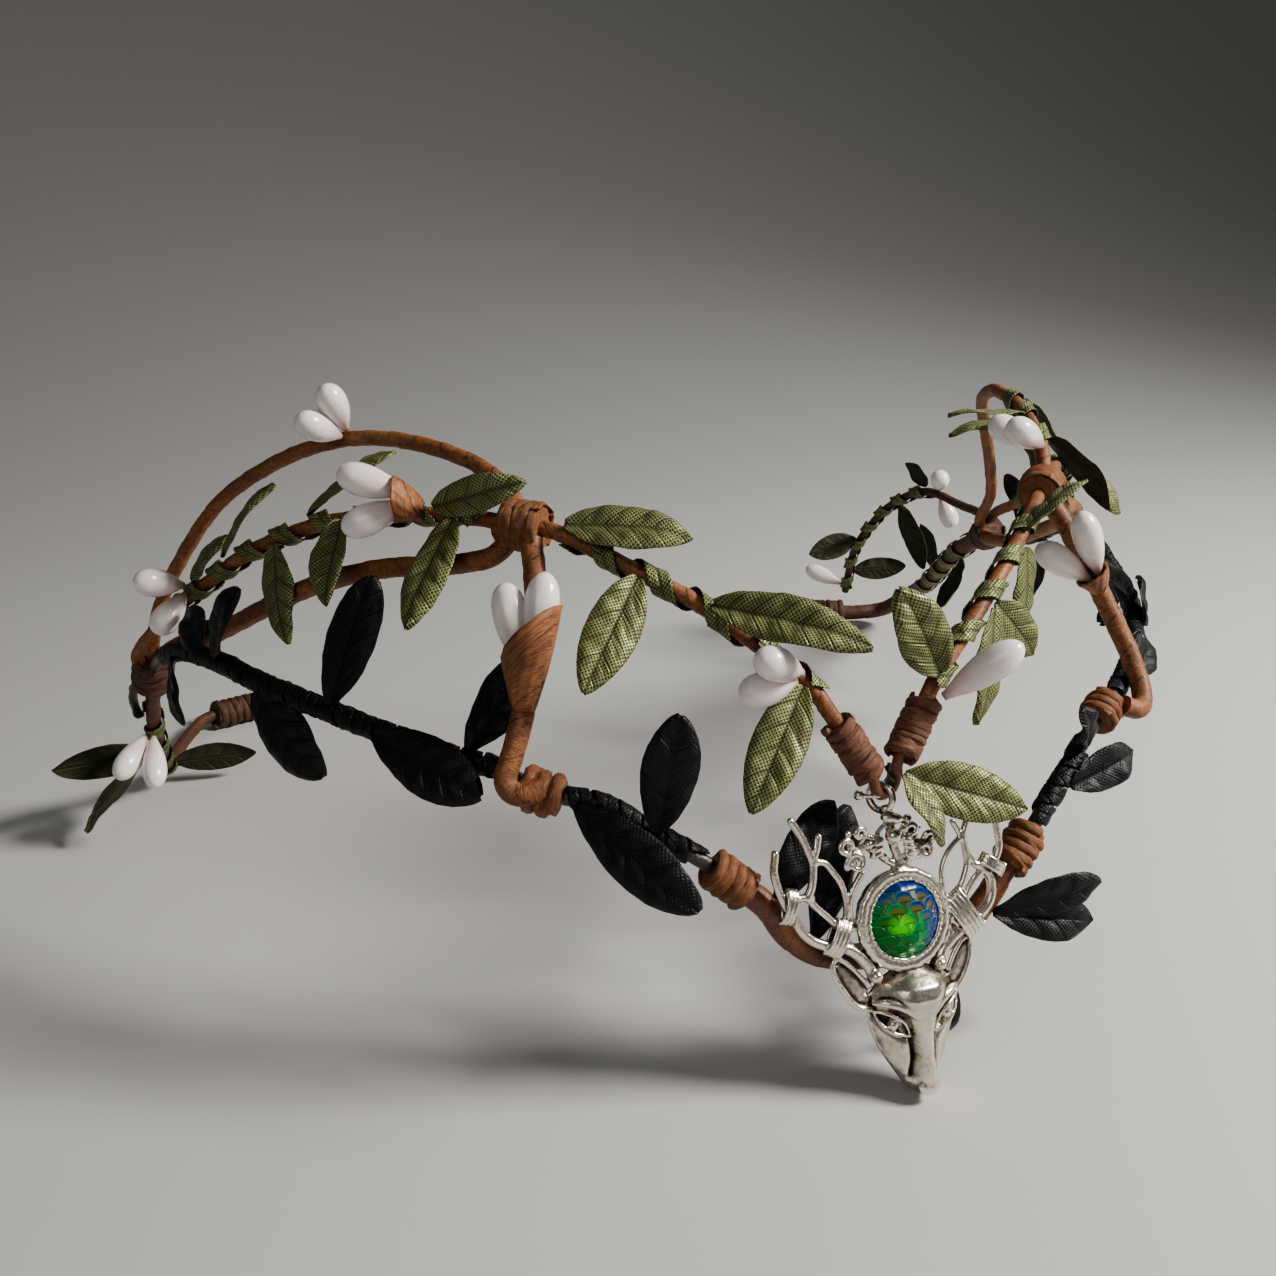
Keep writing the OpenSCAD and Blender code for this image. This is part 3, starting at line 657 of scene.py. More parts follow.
def plate_faces(rows: int, columns: int) -> list[tuple[int, ...]]:
    """Faces of a closed plate.

    Args:
        rows: spaces between the rows of its grid.
        columns: spaces between the points of a row.

    Returns:
        Faces over the points of the upper grid, row by row, and then those of the lower one.
    """
    n, m = columns + 1, (rows + 1) * (columns + 1)
    faces = []
    for a in (i * n + k for i in range(rows) for k in range(columns)):
        faces += [(a, a + n, a + n + 1, a + 1), (m + a, m + a + 1, m + a + n + 1, m + a + n)]
    border = [*range(0, rows * n, n), *range(rows * n, m - 1),
              *range(m - 1, columns, -n), *range(columns, 0, -1)]
    return faces + [(p, m + p, m + q, q) for p, q in zip(border, border[1:] + border[:1])]


def fit(piece: bpy.types.Object, slot: str, *nodes: str) -> None:
    """Seats a finished piece on the frame.

    Args:
        piece: the finished piece.
        slot: the record's material slot; not used.
        nodes: the CAD nodes that it stands for.
    """
    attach(piece, BODY)
    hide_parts(*nodes)
    LOG.info("%s: %d faces", piece.name, len(piece.data.polygons))


@dataclass(frozen=True)
class HeadForm:
    """The rounded head that every wire is bent round, in millimetres."""

    width: float = 176.0
    length: float = 182.0
    brow: float = 30.0
    crown: float = 71.0

    def point(self, turn: float, height: float, out: float) -> np.ndarray:
        """A place at an angle round the head, a height and a distance off it.

        Args:
            turn: angle round the head from the front, in degrees.
            height: height.
            out: distance off the head.

        Returns:
            The place.
        """
        reach = 1.0 if height <= self.brow else math.sqrt(
            max(1 - ((height - self.brow) / self.crown) ** 2, 0.01))
        a = math.radians(turn)
        return np.array([(self.width / 2 * reach + out) * math.sin(a),
                         -(self.length / 2 * reach + out) * math.cos(a), height])

    def outward(self, p: np.ndarray) -> np.ndarray:
        """Direction straight out of the head at a point."""
        return unit(np.array([p[0] / (self.width / 2) ** 2, p[1] / (self.length / 2) ** 2,
                              max(p[2] - self.brow, 0) / self.crown ** 2]))


HEAD = HeadForm()


@dataclass(frozen=True)
class Seat:
    """A place with its three directions: along, across and face."""

    origin: np.ndarray
    along: np.ndarray
    across: np.ndarray
    face: np.ndarray

    def put(self, points: np.ndarray) -> np.ndarray:
        """Points given along, across and face, moved onto the seat."""
        return self.origin + points @ np.stack([self.along, self.across, self.face])


def leaving(n: np.ndarray, heading: float, lift: float) -> np.ndarray:
    """Direction at a heading along the head and a lift off it.

    Args:
        n: direction straight out of the head.
        heading: direction along the head, in degrees.
        lift: angle off it.

    Returns:
        The direction.
    """
    east = unit(np.cross([0, 0, 1.0], n))
    north = np.cross(n, east)
    h, up = math.radians(heading), math.radians(lift)
    return math.cos(up) * (math.cos(h) * east + math.sin(h) * north) + math.sin(up) * n


class Route:
    """A wire's middle line: the smooth curve through its rows."""

    def __init__(self, rows: Sequence[Row], radius: float, lead: Sequence[Row] = (),
                 tail: Sequence[Row] = (), skip: int = 0) -> None:
        """Takes the wire's line.

        Args:
            rows: turn, height and distance off the head of each point.
            radius: the wire's radius.
            lead: rows by which the tape runs on before the start, into a knot.
            tail: rows by which it runs on past the end.
            skip: how many of the first rows the lead stands for.
        """
        self.taped = [*lead, *rows[skip:], *tail]
        self.points = np.array([HEAD.point(*row) for row in rows])
        self.radius = radius
        self.last = len(rows) - 1

    def at(self, s: float) -> np.ndarray:
        """The point at a place counted in rows.

        Args:
            s: the place.

        Returns:
            The point.
        """
        p = self.points
        i = min(int(max(s, 0)), self.last - 1)
        a = p[i - 1] if i > 0 else 2 * p[0] - p[1]
        d = p[i + 2] if i < self.last - 1 else 2 * p[self.last] - p[self.last - 1]
        return curved(a, p[i], p[i + 1], d, s - i)

    def heading(self, s: float) -> np.ndarray:
        """Direction of the wire at a place."""
        return unit(self.at(min(s + 0.05, self.last)) - self.at(max(s - 0.05, 0)))

    def line(self, start: float, end: float, step: float = 0.5) -> np.ndarray:
        """Points along the wire between two places, about a step apart.

        Args:
            start: the first place.
            end: the last place.
            step: the distance, in millimetres.

        Returns:
            The points.
        """
        rough = np.array([self.at(s) for s in np.linspace(start, end, 400)])
        run = np.concatenate([[0], np.cumsum(np.linalg.norm(np.diff(rough, axis=0), axis=1))])
        marks = np.linspace(0, run[-1], max(int(run[-1] / step), 4) + 1)
        return np.stack([np.interp(marks, run, rough[:, k]) for k in range(3)], axis=1)

    def whole(self) -> np.ndarray:
        """Points along the whole wire, into its knots."""
        return Route(self.taped, self.radius).line(0, len(self.taped) - 1)

    def off(self, s: float, heading: float, lift: float, roll: float, stand: float,
            aim: Optional[Row] = None) -> Seat:
        """Where something leaves the wire.

        Args:
            s: place along the wire, in rows.
            heading: direction along the head, in degrees.
            lift: angle off the head.
            roll: turn about its own length.
            stand: distance of its root from the wire's middle.
            aim: heading and lift towards which the root stands, if not its own.

        Returns:
            The seat.
        """
        c, t = self.at(s), self.heading(s)
        n = HEAD.outward(c)
        v = leaving(n, heading, lift)
        a = v if aim is None else leaving(n, aim[0], aim[1])
        origin = c + stand * unit(a - (a @ t) * t + 0.5 * n)
        flat = unit(n - (n @ v) * v)
        turned = math.radians(roll)
        face = math.cos(turned) * flat + math.sin(turned) * np.cross(flat, v)
        return Seat(origin, v, np.cross(face, v), face)

    def stretch(self, s: float, length: float) -> np.ndarray:
        """Points of the straight line that a winding at a place is wound on."""
        c, t = self.at(s), self.heading(s)
        return np.array([c + t * x for x in np.linspace(-length / 2, length / 2, 24)])


@dataclass
class Spiral:
    """Node trees that lay tape, cord or ribbon along a guide line; each rate is per metre."""

    tape_step: float = 0.42
    tape_sides: int = 20
    wrinkle_rate: float = 480.0
    wander_rate: float = 700.0
    pleat_rate: float = 240.0
    rumple_rate: float = 900.0

    def __post_init__(self) -> None:
        """Builds the trees."""
        self.tape = self._tape_tree()
        self.strand = self._strand_tree()
        self.claws = self._claw_tree()

    @staticmethod
    def _start(name: str, numbers: str, counts: str = "") -> tuple[Bench, dict[str, Signal]]:
        """A new tree with named inputs for a line, a finish and its sizes.

        Args:
            name: the tree's name.
            numbers: names of its sizes.
            counts: names of its whole numbers.

        Returns:
            The bench, and the inputs as signals.
        """
        tree = bpy.data.node_groups.new(name, "GeometryNodeTree")
        sockets = {"Geometry": "Geometry", **dict.fromkeys(numbers.split(), "Float"),
                   **dict.fromkeys(counts.split(), "Int"), "Finish": "Material"}
        for key, kind in sockets.items():
            tree.interface.new_socket(key, in_out="INPUT", socket_type=f"NodeSocket{kind}")
        tree.interface.new_socket("Geometry", in_out="OUTPUT", socket_type="NodeSocketGeometry")
        bench = Bench(tree)
        given = bench.node("NodeGroupInput")
        return bench, {key: given.out(key) for key in sockets}

    @staticmethod
    def _end(bench: Bench, mesh: Signal, finish: Signal) -> None:
        """Smooths, realizes and dresses the mesh, and hands it out of the tree.

        Args:
            bench: where its nodes are set.
            mesh: the finished mesh.
            finish: the material.
        """
        smooth = bench.node("GeometryNodeSetShadeSmooth", None, {"Geometry": mesh})
        real = bench.node("GeometryNodeRealizeInstances", None, {"Geometry": smooth})
        dressed = bench.node("GeometryNodeSetMaterial", None, {"Geometry": real, "Material": finish})
        bench.node("NodeGroupOutput", None, {0: dressed})

    @staticmethod
    def _store(bench: Bench, geometry: Signal, name: str, kind: str, value: Signal) -> Signal:
        """Stores a value at the points under a name."""
        return bench.node("GeometryNodeStoreNamedAttribute", {"data_type": kind, "domain": "POINT"},
                          {"Geometry": geometry, "Name": name, "Value": value}).signal

    @staticmethod
    def _known(bench: Bench, name: str, kind: str = "FLOAT") -> Signal:
        """What the points store under a name."""
        return bench.node("GeometryNodeInputNamedAttribute", {"data_type": kind}, {"Name": name}).signal

    @staticmethod
    def _moved(bench: Bench, geometry: Signal, way: Signal, far: Signal) -> Signal:
        """The geometry with its points moved some distance along a direction."""
        offset = bench.node("ShaderNodeVectorMath", {"operation": "SCALE"}, {"Vector": way, "Scale": far})
        return bench.node("GeometryNodeSetPosition", None, {"Geometry": geometry, "Offset": offset}).signal

    def _marked(self, bench: Bench, guide: Signal, step: Any) -> tuple[Signal, Signal]:
        """Lays points along the guide.

        Args:
            bench: where its nodes are set.
            guide: the line that came in.
            step: distance between the points.

        Returns:
            The curve, whose points know how far along they are, and that length itself.
        """
        line = bench.node("GeometryNodeMeshToCurve", None, {0: guide})
        fine = bench.node("GeometryNodeResampleCurve", {"mode": "LENGTH"}, {"Curve": line, "Length": step})
        length = bench.node("GeometryNodeSplineParameter").out("Length")
        return self._store(bench, fine.signal, "along", "FLOAT", length), length

    def _swept(self, bench: Bench, curve: Signal, sides: Any, across: Signal, thick: Signal) -> Signal:
        """Sweeps a ring along a curve.

        Args:
            bench: where its nodes are set.
            curve: what it is swept along.
            sides: how many points the ring has.
            across: the ring's half-width.
            thick: its half-thickness.

        Returns:
            The skin, whose points know their own place round the curve.
        """
        ring = bench.node("GeometryNodeCurvePrimitiveCircle", None, {"Resolution": sides, "Radius": 1.0})
        known = self._store(bench, ring.signal, "ring", "FLOAT_VECTOR",
                            bench.node("GeometryNodeInputPosition").signal)
        profile = bench.node("GeometryNodeTransform", None, {
            "Geometry": known, "Scale": bench.vector(thick, across, 1.0)})
        return bench.node("GeometryNodeCurveToMesh", None, {
            "Curve": curve, "Profile Curve": profile, "Fill Caps": True}).signal

    def _tape_tree(self) -> bpy.types.NodeTree:
        """Tree of a wire under laps of tape.

        Returns:
            The tree.
        """
        bench, given = self._start("laps_of_tape", "Radius Lap Step Crumple Seed")
        line, _ = self._marked(bench, given["Geometry"], self.tape_step * MM)
        skin = self._swept(bench, line, self.tape_sides, given["Radius"], given["Radius"])
        along = self._known(bench, "along")
        x, y, _ = bench.split(self._known(bench, "ring", "FLOAT_VECTOR"))
        lap = (along / given["Lap"] - y.angle_over(x)).fract()
        place = bench.vector(x * 0.8, y * 0.8, along * self.wrinkle_rate + given["Seed"])
        rise = (lap - 0.6) * given["Step"] + (bench.noise(place, 1.5, 3.0) - 0.5) * given["Crumple"]
        normal = bench.node("GeometryNodeInputNormal").signal
        self._end(bench, self._moved(bench, skin, normal, rise), given["Finish"])
        return bench.tree

    def _strand_tree(self) -> bpy.types.NodeTree:
        """Tree of a cord or ribbon that winds round its guide.

        Returns:
            The tree.
        """
        bench, given = self._start(
            "wound_strand", "Coil Pitch Start Across Thick Wobble Crumple Fold Step Seed", "Sides")
        line, length = self._marked(bench, given["Geometry"], given["Step"])
        wander = bench.noise(bench.vector(length * self.wander_rate, given["Seed"], 0.0), 1.0, 2.0) - 0.5
        normal = bench.node("GeometryNodeInputNormal").signal
        spoke = bench.node("ShaderNodeVectorRotate", {"rotation_type": "AXIS_ANGLE"}, {
            "Vector": normal, "Axis": bench.node("GeometryNodeInputTangent").signal,
            "Angle": length / given["Pitch"] * (2 * math.pi) + given["Start"]}).signal
        kept = self._store(bench, line, "spoke", "FLOAT_VECTOR", spoke)
        wound = self._moved(bench, kept, spoke, given["Coil"] + wander * given["Wobble"])
        turned = bench.node("GeometryNodeSetCurveNormal", {"mode": "FREE"}, {
            "Curve": wound, "Normal": self._known(bench, "spoke", "FLOAT_VECTOR")})
        run = self._store(bench, turned.signal, "strand", "FLOAT",
                          bench.node("GeometryNodeSplineParameter").out("Length"))
        skin = self._swept(bench, run, given["Sides"], given["Across"], given["Thick"])
        x, y, _ = bench.split(self._known(bench, "ring", "FLOAT_VECTOR"))
        strand = self._known(bench, "strand")
        creased = bench.vector(x * 1.7, y * 1.7, strand * self.pleat_rate + given["Seed"])
        pleat = (bench.noise(creased, 1.6, 2.0, 0.6) - 0.5).size() * given["Fold"] * -2.0
        place = bench.node("GeometryNodeInputPosition").signal
        rise = (bench.noise(place, self.rumple_rate, 3.0) - 0.5) * given["Crumple"] + pleat
        self._end(bench, self._moved(bench, skin, normal, rise), given["Finish"])
        return bench.tree

    def _claw_tree(self) -> bpy.types.NodeTree:
        """Tree of small claws that stand side by side on a ring.

        Returns:
            The tree.
        """
        bench, given = self._start("claws_on_ring", "Width Height", "Count")
        line = bench.node("GeometryNodeMeshToCurve", None, {0: given["Geometry"]})
        dots = bench.node("GeometryNodeCurveToPoints", {"mode": "COUNT"},
                          {"Curve": line, "Count": given["Count"]})
        bead = bench.node("GeometryNodeMeshIcoSphere", None, {"Radius": 0.5, "Subdivisions": 2})
        claws = bench.node("GeometryNodeInstanceOnPoints", None, {
            "Points": dots.out("Points"), "Instance": bead.signal, "Rotation": dots.out("Rotation"),
            "Scale": bench.vector(given["Height"], given["Height"], given["Width"])})
        self._end(bench, claws.signal, given["Finish"])
        return bench.tree

    @staticmethod
    def guide(line: np.ndarray, closed: bool = False) -> bpy.types.Object:
        """A line of points in millimetres, as an object in metres.

        Args:
            line: the points.
            closed: whether it is a loop.

        Returns:
            The object.
        """
        mesh = bpy.data.meshes.new("guide")
        edges = [(i, i + 1) for i in range(len(line) - 1)] + ([(len(line) - 1, 0)] if closed else [])
        mesh.from_pydata((line * MM).tolist(), edges, [])
        return placed("guide", mesh)

    def lay(self, tree: bpy.types.NodeTree, line: np.ndarray, closed: bool = False,
            **inputs: Any) -> bpy.types.Mesh:
        """Runs a tree along a line.

        Args:
            tree: one of this class's trees.
            line: the guide's points, in millimetres.
            closed: whether the line is a loop.
            inputs: the tree's named inputs.

        Returns:
            The plain mesh, in metres.
        """
        made = self.guide(line, closed)
        modifier = made.modifiers.new("lay", "NODES")
        modifier.node_group = tree
        for item in tree.interface.items_tree:
            if item.in_out == "INPUT" and item.name in inputs:
                modifier[item.identifier] = inputs[item.name]
        graph = bpy.context.evaluated_depsgraph_get()
        mesh = bpy.data.meshes.new_from_object(made.evaluated_get(graph), preserve_all_data_layers=True,
                                               depsgraph=graph)
        made.modifiers.remove(modifier)
        bpy.data.objects.remove(made)
        return mesh

    @staticmethod
    def piece(name: str, meshes: Sequence[bpy.types.Mesh]) -> bpy.types.Object:
        """One piece from several laid meshes.

        Args:
            name: the piece's name.
            meshes: what it is joined from.

        Returns:
            The piece.
        """
        pieces = [placed(name, mesh) for mesh in meshes]
        if len(pieces) > 1:
            with bpy.context.temp_override(active_object=pieces[0], selected_editable_objects=pieces):
                bpy.ops.object.join()
        pieces[0].name = name
        return pieces[0]


@dataclass
class TapedWires:
    """The wires of the frame under their paper tape."""

    spiral: Spiral
    step: float = 0.1
    crumple: float = 0.22
    band_crumple: float = 0.572
    yoke_grow: float = 0.35
    lap: float = 5.2

    def build(self, name: str, route: Route, tape: Tape, slot: str) -> None:
        """Lays one wire's tape.

        Args:
            name: the CAD node, which also names the piece.
            route: the wire's middle line.
            tape: which tape it wears.
            slot: the record's material slot.
        """
        crumple = self.band_crumple if tape is Tape.BAND else self.crumple
        grow = self.yoke_grow if name == "front_yoke" else 0.0
        mesh = self.spiral.lay(self.spiral.tape, route.whole(), Radius=(route.radius + grow) * MM,
                               Lap=self.lap * MM, Step=self.step * MM, Crumple=crumple * MM,
                               Seed=float(len(name) * 3.7), Finish=tape.value.material())
        fit(self.spiral.piece(name + "_tape", [mesh]), slot, name)


class Wrap(Enum):
    """Ways of winding: strands of pitch, start, half-width and half-thickness, and how deep they lie.

    A pitch is a share of the winding's length, and the other sizes are shares of its outer radius.
    """

    CORD = ((0.2, 0.6, 0.27, 0.23, 0.0), (-0.43, 2.2, 0.22, 0.2, 0.03))
    PLEATS = ((0.135, 0.4, 0.25, 0.15, 0.06), (0.19, 2.6, 0.2, 0.15, 0.0), (-0.37, 1.1, 0.3, 0.12, 0.02),
              (0.5, 4.4, 0.26, 0.12, 0.01))
    FLAT = ((0.2, 0.3, 0.27, 0.11, 0.1), (-0.36, 1.9, 0.25, 0.1, 0.05), (0.3, 3.6, 0.22, 0.1, 0.03),
            (-0.8, 0.4, 0.24, 0.09, 0.01), (0.62, 5.0, 0.2, 0.09, 0.0))


@dataclass
class Windings:
    """Turns of paper cord where the wires are tied together."""

    spiral: Spiral
    wobble: float = 0.22
    crumple: float = 0.16
    fold: float = 0.13
    core: float = 0.76
    core_length: float = 0.84
    core_step: float = 0.25
    tuck: float = 0.9
    clear: float = 0.03
    steps: int = 30
    sides: int = 18

    def build(self, name: str, route: Route, s: float, size: Row, wrap: Wrap, cord: Cord,
              slot: str) -> None:
        """Winds one binding.

        Args:
            name: the CAD node.
            route: the wire that it is wound on.
            s: place along the wire, in rows.
            size: outer radius and length, in millimetres, and how much coarser than usual its turns are.
            wrap: how it is wound.
            cord: which cord it is.
            slot: the record's material slot.
        """
        outer, length, coarse = size
        finish = cord.value.material()
        core, own = outer * self.core, len(name)
        meshes = [self.spiral.lay(
            self.spiral.strand, route.stretch(s, length * self.core_length), Coil=0.0, Pitch=1.0, Start=0.0,
            Across=core * MM, Thick=core * MM, Wobble=0.0, Crumple=outer * self.crumple * MM,
            Fold=0.0, Step=self.core_step * MM, Sides=self.sides, Seed=3.0, Finish=finish)]
        for k, (pitch, start, wide, thick, deep) in enumerate(wrap.value):
            line = route.stretch(s, length - 2 * wide * outer * self.tuck)
            meshes.append(self.spiral.lay(
                self.spiral.strand, line, Coil=outer * (1 - thick - deep - self.clear) * MM,
                Pitch=pitch * coarse * length * MM, Start=start + own, Across=wide * outer * MM,
                Thick=thick * outer * MM, Wobble=self.wobble * outer * MM,
                Crumple=self.crumple * outer * MM, Fold=self.fold * outer * MM,
                Step=abs(pitch) * coarse * length / self.steps * MM, Sides=self.sides, Seed=1.0 + 4 * k + own,
                Finish=finish))
        fit(self.spiral.piece(name + "_cord", meshes), slot, name)


class Outline(Enum):
    """Half-width of a leaf against its length, as shares."""

    POINTED = ((0, .2), (.06, .4), (.15, .68), (.28, .9), (.42, 1), (.56, .99), (.7, .88), (.81, .7),
               (.9, .48), (.96, .27), (1, .06))
    ROUND = ((0, .18), (.06, .34), (.17, .62), (.32, .86), (.48, .99), (.6, 1), (.73, .92), (.84, .74),
             (.92, .52), (.97, .32), (1, .1))


@dataclass(frozen=True)
class Ribbon:
    """How a ribbon winds: its pitch, its half-width and how crushed it is, in millimetres."""

    pitch: float
    across: float
    crush: float
    thick: float = 0.17
    clear: float = 0.36
    wobble: float = 0.4
    step: float = 0.16
    sides: int = 14


RIBBONS = {Cloth.GREEN: Ribbon(8.2, 1.5, 0.5), Cloth.BLACK: Ribbon(3.3, 1.45, 0.9)}


@dataclass
class Leaves:
    """Stiffened cloth leaves and the ribbon that they grow from."""

    spiral: Spiral
    thick: float = 0.42
    droop: float = 0.07
    lead: float = 0.3
    rows: int = 52
    columns: int = 24
    vein_pitch: float = 3.3
    vein_high: float = 0.3
    vein_slant: float = 0.85
    rib: float = 0.28
    root: float = 0.3
    root_fold: float = 34.0
    edge_drop: float = 0.5
    wave: float = 0.26
    usual: float = 7.0
    off_wire: float = 0.5

    def leaf(self, shape: Outline, row: Row, seed: int) -> tuple[np.ndarray, list, np.ndarray]:
        """One leaf along x with its face towards z.

        Args:
            shape: its outline.
            row: place, heading, lift, roll, length, width and fold.
            seed: what makes this leaf's waves its own.

        Returns:
            Points, faces, and the stored cloth place of each point.
        """
        *_, long, wide, fold = row
        chance = np.random.default_rng(seed)
        share, half = np.array(shape.value).T
        tt, qq = np.meshgrid(np.linspace(0, 1, self.rows + 1) ** 0.92, np.linspace(-1, 1, self.columns + 1),
                             indexing="ij")
        edge = np.abs(qq)
        x = tt * (long + self.lead) - self.lead
        y = qq * np.interp(tt, share, half) * wide / 2
        folded = np.radians(fold) + np.radians(self.root_fold) * np.clip(1 - tt / self.root, 0, 1) ** 2
        twist = chance.uniform(-0.2, 0.2)
        phase, waves = chance.uniform(0, 6.28), chance.uniform(1.1, 1.9)
        curl = chance.uniform(-1.3, -0.1)
        ripple = np.sin(2 * np.pi * waves * tt + phase + 1.4 * (qq > 0))
        z = (-self.droop * x * x / long + np.abs(y) * np.tan(folded) * 0.95 + y * twist * (tt - self.root)
             - self.edge_drop * edge ** 3 * eased(tt, .1, .5) * wide / self.usual
             + self.wave * edge ** 1.5 * ripple * eased(tt, .1, .4)
             + curl * eased(tt, 0.6, 1.0) ** 2)
        rib = np.exp(-(y / self.rib) ** 2) * eased(1 - tt, 0, 0.1)
        bend = 0.35 * np.sin(2.1 * y + phase)
        vein = (x - self.vein_slant * np.abs(y) + bend + chance.uniform(0, 2)) / self.vein_pitch
        puff = np.abs(np.sin(np.pi * vein)) ** 0.6 * eased(np.abs(y), 0.15, 0.7)
        puff *= eased(1 - edge, 0.0, 0.35) * eased(1 - tt, 0.0, 0.2) * eased(tt, 0.06, 0.2)
        rumple = (np.sin(0.8 * x + phase) * np.sin(1.3 * y + 2 * phase)
                  + 0.6 * np.sin(1.9 * x - 1.1 * y + waves)) * eased(tt, .1, .4)
        z = z + self.vein_high * min(wide / self.usual, 1) ** 2 * (0.8 * rib + puff + 0.3 * rumple)
        taper = (1 - 0.75 * edge ** 6) * self.thick / 2
        top, low = (np.stack([x, y, z + side * taper], -1).reshape(-1, 3) for side in (1, -1))
        # The lower sheet stores -1 as its third value, which gives it the cloth's back colour: painted shade
        # on the underside.
        place = np.stack([x, y, np.ones_like(x)], -1).reshape(-1, 3)
        return (np.concatenate([top, low]), plate_faces(self.rows, self.columns),
                np.concatenate([place, place * [1, 1, -1]]))

    def ribbon(self, name: str, route: Route, start: float, end: float, cloth: Cloth) -> bpy.types.Mesh:
        """Winds the ribbon that the leaves grow from.

        Args:
            name: the CAD node.
            route: the wire that it is wound on.
            start: where it begins, in rows.
            end: where it ends.
            cloth: what it is cut from.

        Returns:
            The ribbon's mesh, with the same stored cloth place as the leaves.
        """
        way, own = RIBBONS[cloth], float(len(name))
        mesh = self.spiral.lay(
            self.spiral.strand, route.line(start, end), Coil=(route.radius + way.clear) * MM,
            Pitch=way.pitch * MM, Start=own, Across=way.across * MM, Thick=way.thick * MM,
            Wobble=way.wobble * MM, Crumple=way.crush * MM, Fold=0.0, Step=way.step * MM, Sides=way.sides,
            Seed=own, Finish=cloth.value.material())
        strand = np.zeros(len(mesh.vertices))
        mesh.attributes["strand"].data.foreach_get("value", strand)
        ring = vectors_at(mesh, "ring")
        # The ribbon's back side stores -1, which gives it the cloth's back colour: painted shade.
        face = np.where(ring[:, 0] > -0.5, 1.0, -1.0)
        store(mesh, "cloth", np.stack([strand / MM, ring[:, 1] * way.across, face], -1))
        return mesh

    def build(self, name: str, route: Route, start: float, end: float, rows: Sequence[Row],
              cloth: Cloth, slot: str) -> None:
        """Builds a ribbon with its leaves.

        Args:
            name: the CAD node.
            route: the wire that they grow from.
            start: where the ribbon begins, in rows.
            end: where it ends; there is none where this is the start.
            rows: the leaves.
            cloth: what they are cut from.
            slot: the record's material slot.
        """
        shape = Outline.POINTED if cloth is Cloth.GREEN else Outline.ROUND
        shell = Shell()
        for k, row in enumerate(rows):
            seat = route.off(*row[:4], route.radius + self.off_wire)
            points, faces, cloth_at = self.leaf(shape, row, len(name) * 31 + k)
            shell.add(seat.put(points), faces, cloth=cloth_at)
        piece = shell.make(name + "_cloth", cloth.value)
        if start != end:
            cut = piece.data
            bpy.data.objects.remove(piece)
            ribbon = self.ribbon(name, route, start, end, cloth)
            piece = self.spiral.piece(name + "_cloth", [cut, ribbon])
        fit(piece, slot, name)


@dataclass(frozen=True)
class Spot:
    """Where one or two pips stand, with s counted in rows and stand from the wire's middle.

    Each pip is a row of heading, lift and length. The root is the heading and lift towards which they stand.
    """

    route: Route
    s: float
    stand: float
    rows: Sequence[Row]
    root: Optional[Row] = None

    def seat(self, way: Row, clear: float) -> Seat:
        """The seat of something that points along a heading and lift."""
        return self.route.off(self.s, way[0], way[1], 0, self.stand + clear, self.root or self.rows[0])


@dataclass(frozen=True)
class Cone:
    """A paper cone: its start and end along the axis, its radius at each, and how slanted its mouth is."""

    start: float
    end: float
    narrow: float
    mouth: float
    slant: float = 0.0
    wall: float = 0.4
    sides: int = 56
    steps: int = 16


